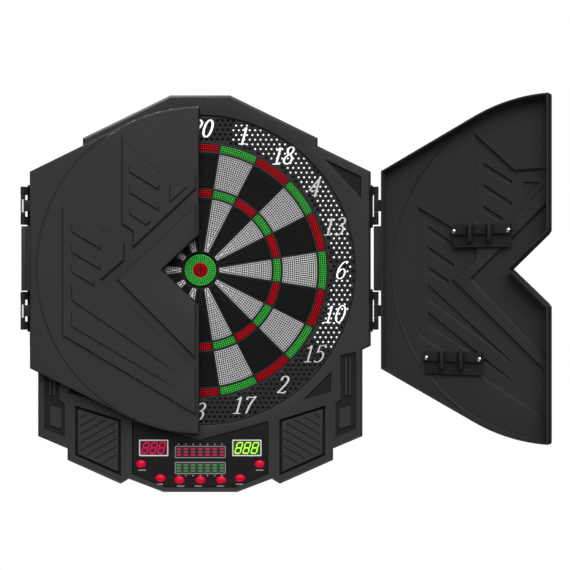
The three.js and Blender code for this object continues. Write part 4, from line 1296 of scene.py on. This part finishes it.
def doors():
    outer, inner = door_reliefs()
    face_y = DOOR_OUTER_Y + DOOR_STEP
    inner_depth = relief(inner, face_y + DOOR_WALL)
    # side=1 paints shade on the tray's outer walls.
    tray = shell(door_outline(), face_y, DOOR_RIM_Y, DOOR_WALL, DOOR_WALL, round_profile(2.5), outer, inner, side=1)
    rail = post(RAIL_SECTION, RAIL_BOTTOM, RAIL_TOP, 0.6)
    clips = Mesh()
    for _, height in HINGE_HEIGHTS:
        clips.add(hinge_clip(height))
    holder = dart_holder()
    for side, leaf in (("left", left_leaf()), ("right", right_leaf())):
        body = f"{side}_door"
        piece = tray.object(f"{side}_door_tray", [DOOR, PAINTED_SHADE_PLASTIC], leaf)
        stand_for(piece, body, "door_plastic", body)
        stand_for(rail.object(f"{side}_door_rail", [DOOR], leaf), body, "door_plastic")
        stand_for(clips.object(f"{side}_door_clips", [BLACK], leaf), body, "black_plastic")
        for level, along, height in HOLDERS:
            place = leaf @ Matrix.Translation((along, 0, height))
            name = f"{side}_{level}"
            piece = holder.object(f"{name}_comb", [BLACK], place)
            stand_for(piece, body, "black_plastic", f"{name}_dart_holder")
            for k, x in enumerate((-HOLDER_SCREW_X, HOLDER_SCREW_X)):
                back = 1 - inner_depth(np.array([(along + x, height + HOLDER_SCREW_Z)]))[0]
                spot = place @ Matrix.Translation((x, 0, HOLDER_SCREW_Z)) @ Matrix.Diagonal((1, -1, 1, 1))
                boss = lathe([(2.5, 0.3), (3.7, 0.3), (4, 0.6), (4, back), (2.5, back), (2.5, 0.3)], 28)
                piece = boss.object(f"{name}_boss_{k + 1}", [BLACK], spot)
                stand_for(piece, body, "black_plastic")
                head = screw(3.2, -1, 2.4)
                piece = head.object(f"{name}_screw_{k + 1}", [STEEL], spot)
                stand_for(piece, body, "hinge_steel")


# ---------------------------------------------------------------- hidden parts


def inner_parts():
    own_finish("switch_mat", RUBBER)
    own_finish("backing_plate", CABINET)
    own_finish("main_circuit_board", BOARD)
    own_finish("display_circuit_board", BOARD)
    own_finish("speaker", CONE)
    own_finish("power_socket", BLACK)


# ---------------------------------------------------------------- stage, light and camera


def ramp(nodes, links, value, source, target):
    """A node output that runs over a range while the value runs over another."""
    made = nodes.new("ShaderNodeMapRange")
    for name, amount in zip(("From Min", "From Max", "To Min", "To Max"), (*source, *target)):
        made.inputs[name].default_value = amount
    links.new(value, made.inputs["Value"])
    return made.outputs["Result"]


def stage_and_light():
    """A soft overhead sun, and a studio that is white behind the board and grey elsewhere."""
    world = bpy.data.worlds.new("studio")
    bpy.context.scene.world = world
    world.use_nodes = True
    nodes, links = world.node_tree.nodes, world.node_tree.links
    place = nodes.new("ShaderNodeTexCoord")
    split = nodes.new("ShaderNodeSeparateXYZ")
    links.new(place.outputs["Generated"], split.inputs["Vector"])
    backdrop = ramp(nodes, links, split.outputs["Y"], (0.91, 0.94), (0, 1))
    grey = ramp(nodes, links, split.outputs["Z"], (-0.8, 0.8), STUDIO_GREY)
    strength = nodes.new("ShaderNodeMath")
    strength.operation = "MAXIMUM"
    links.new(backdrop, strength.inputs[0])
    links.new(grey, strength.inputs[1])
    links.new(strength.outputs["Value"], nodes["Background"].inputs["Strength"])
    nodes["Background"].inputs["Color"].default_value = (1, 1, 1, 1)
    floor = Mesh()
    z = CAD_BOX[0].z / MM - 450
    floor.face([floor.vertex(x, z, y) for x, y in circle(600, 64)])
    pale = material("pale floor", (0.6, 0.6, 0.6), 0.8, mottle=0.01, specular=0.1)
    floor.object("floor", [pale], UPRIGHT)
    lamp = bpy.data.lights.new("overhead", "SUN")
    lamp.energy, lamp.angle = 3.3, math.radians(50)
    holder = bpy.data.objects.new("overhead", lamp)
    holder.rotation_euler = Vector((-0.1, 0.78, -0.62)).to_track_quat("-Z", "Y").to_euler()
    bpy.context.scene.collection.objects.link(holder)
    rim = bpy.data.lights.new("rim", "SUN")
    rim.energy, rim.angle = 5, math.radians(40)
    holder = bpy.data.objects.new("rim", rim)
    holder.rotation_euler = Vector((0.2, -0.5, -0.85)).to_track_quat("-Z", "Y").to_euler()
    bpy.context.scene.collection.objects.link(holder)


def camera():
    data = bpy.data.cameras.new("camera")
    data.sensor_width = 36
    data.lens = 72.98
    data.clip_start, data.clip_end = 0.05, 50
    holder = bpy.data.objects.new("camera", data)
    holder.location = (0.132, -1.847, -0.02315)
    holder.rotation_euler = (math.pi / 2, 0, 0)
    bpy.context.scene.collection.objects.link(holder)
    bpy.context.scene.camera = holder


bpy.context.scene.view_settings.view_transform = "Standard"
camera()
stage_and_light()
front_frame()
rear_cover()
catch_ring()
numerals()
spider()
scoring_segments()
bulls()
control_panel()
displays()
speaker_grilles()
hinge_brackets()
doors()
inner_parts()
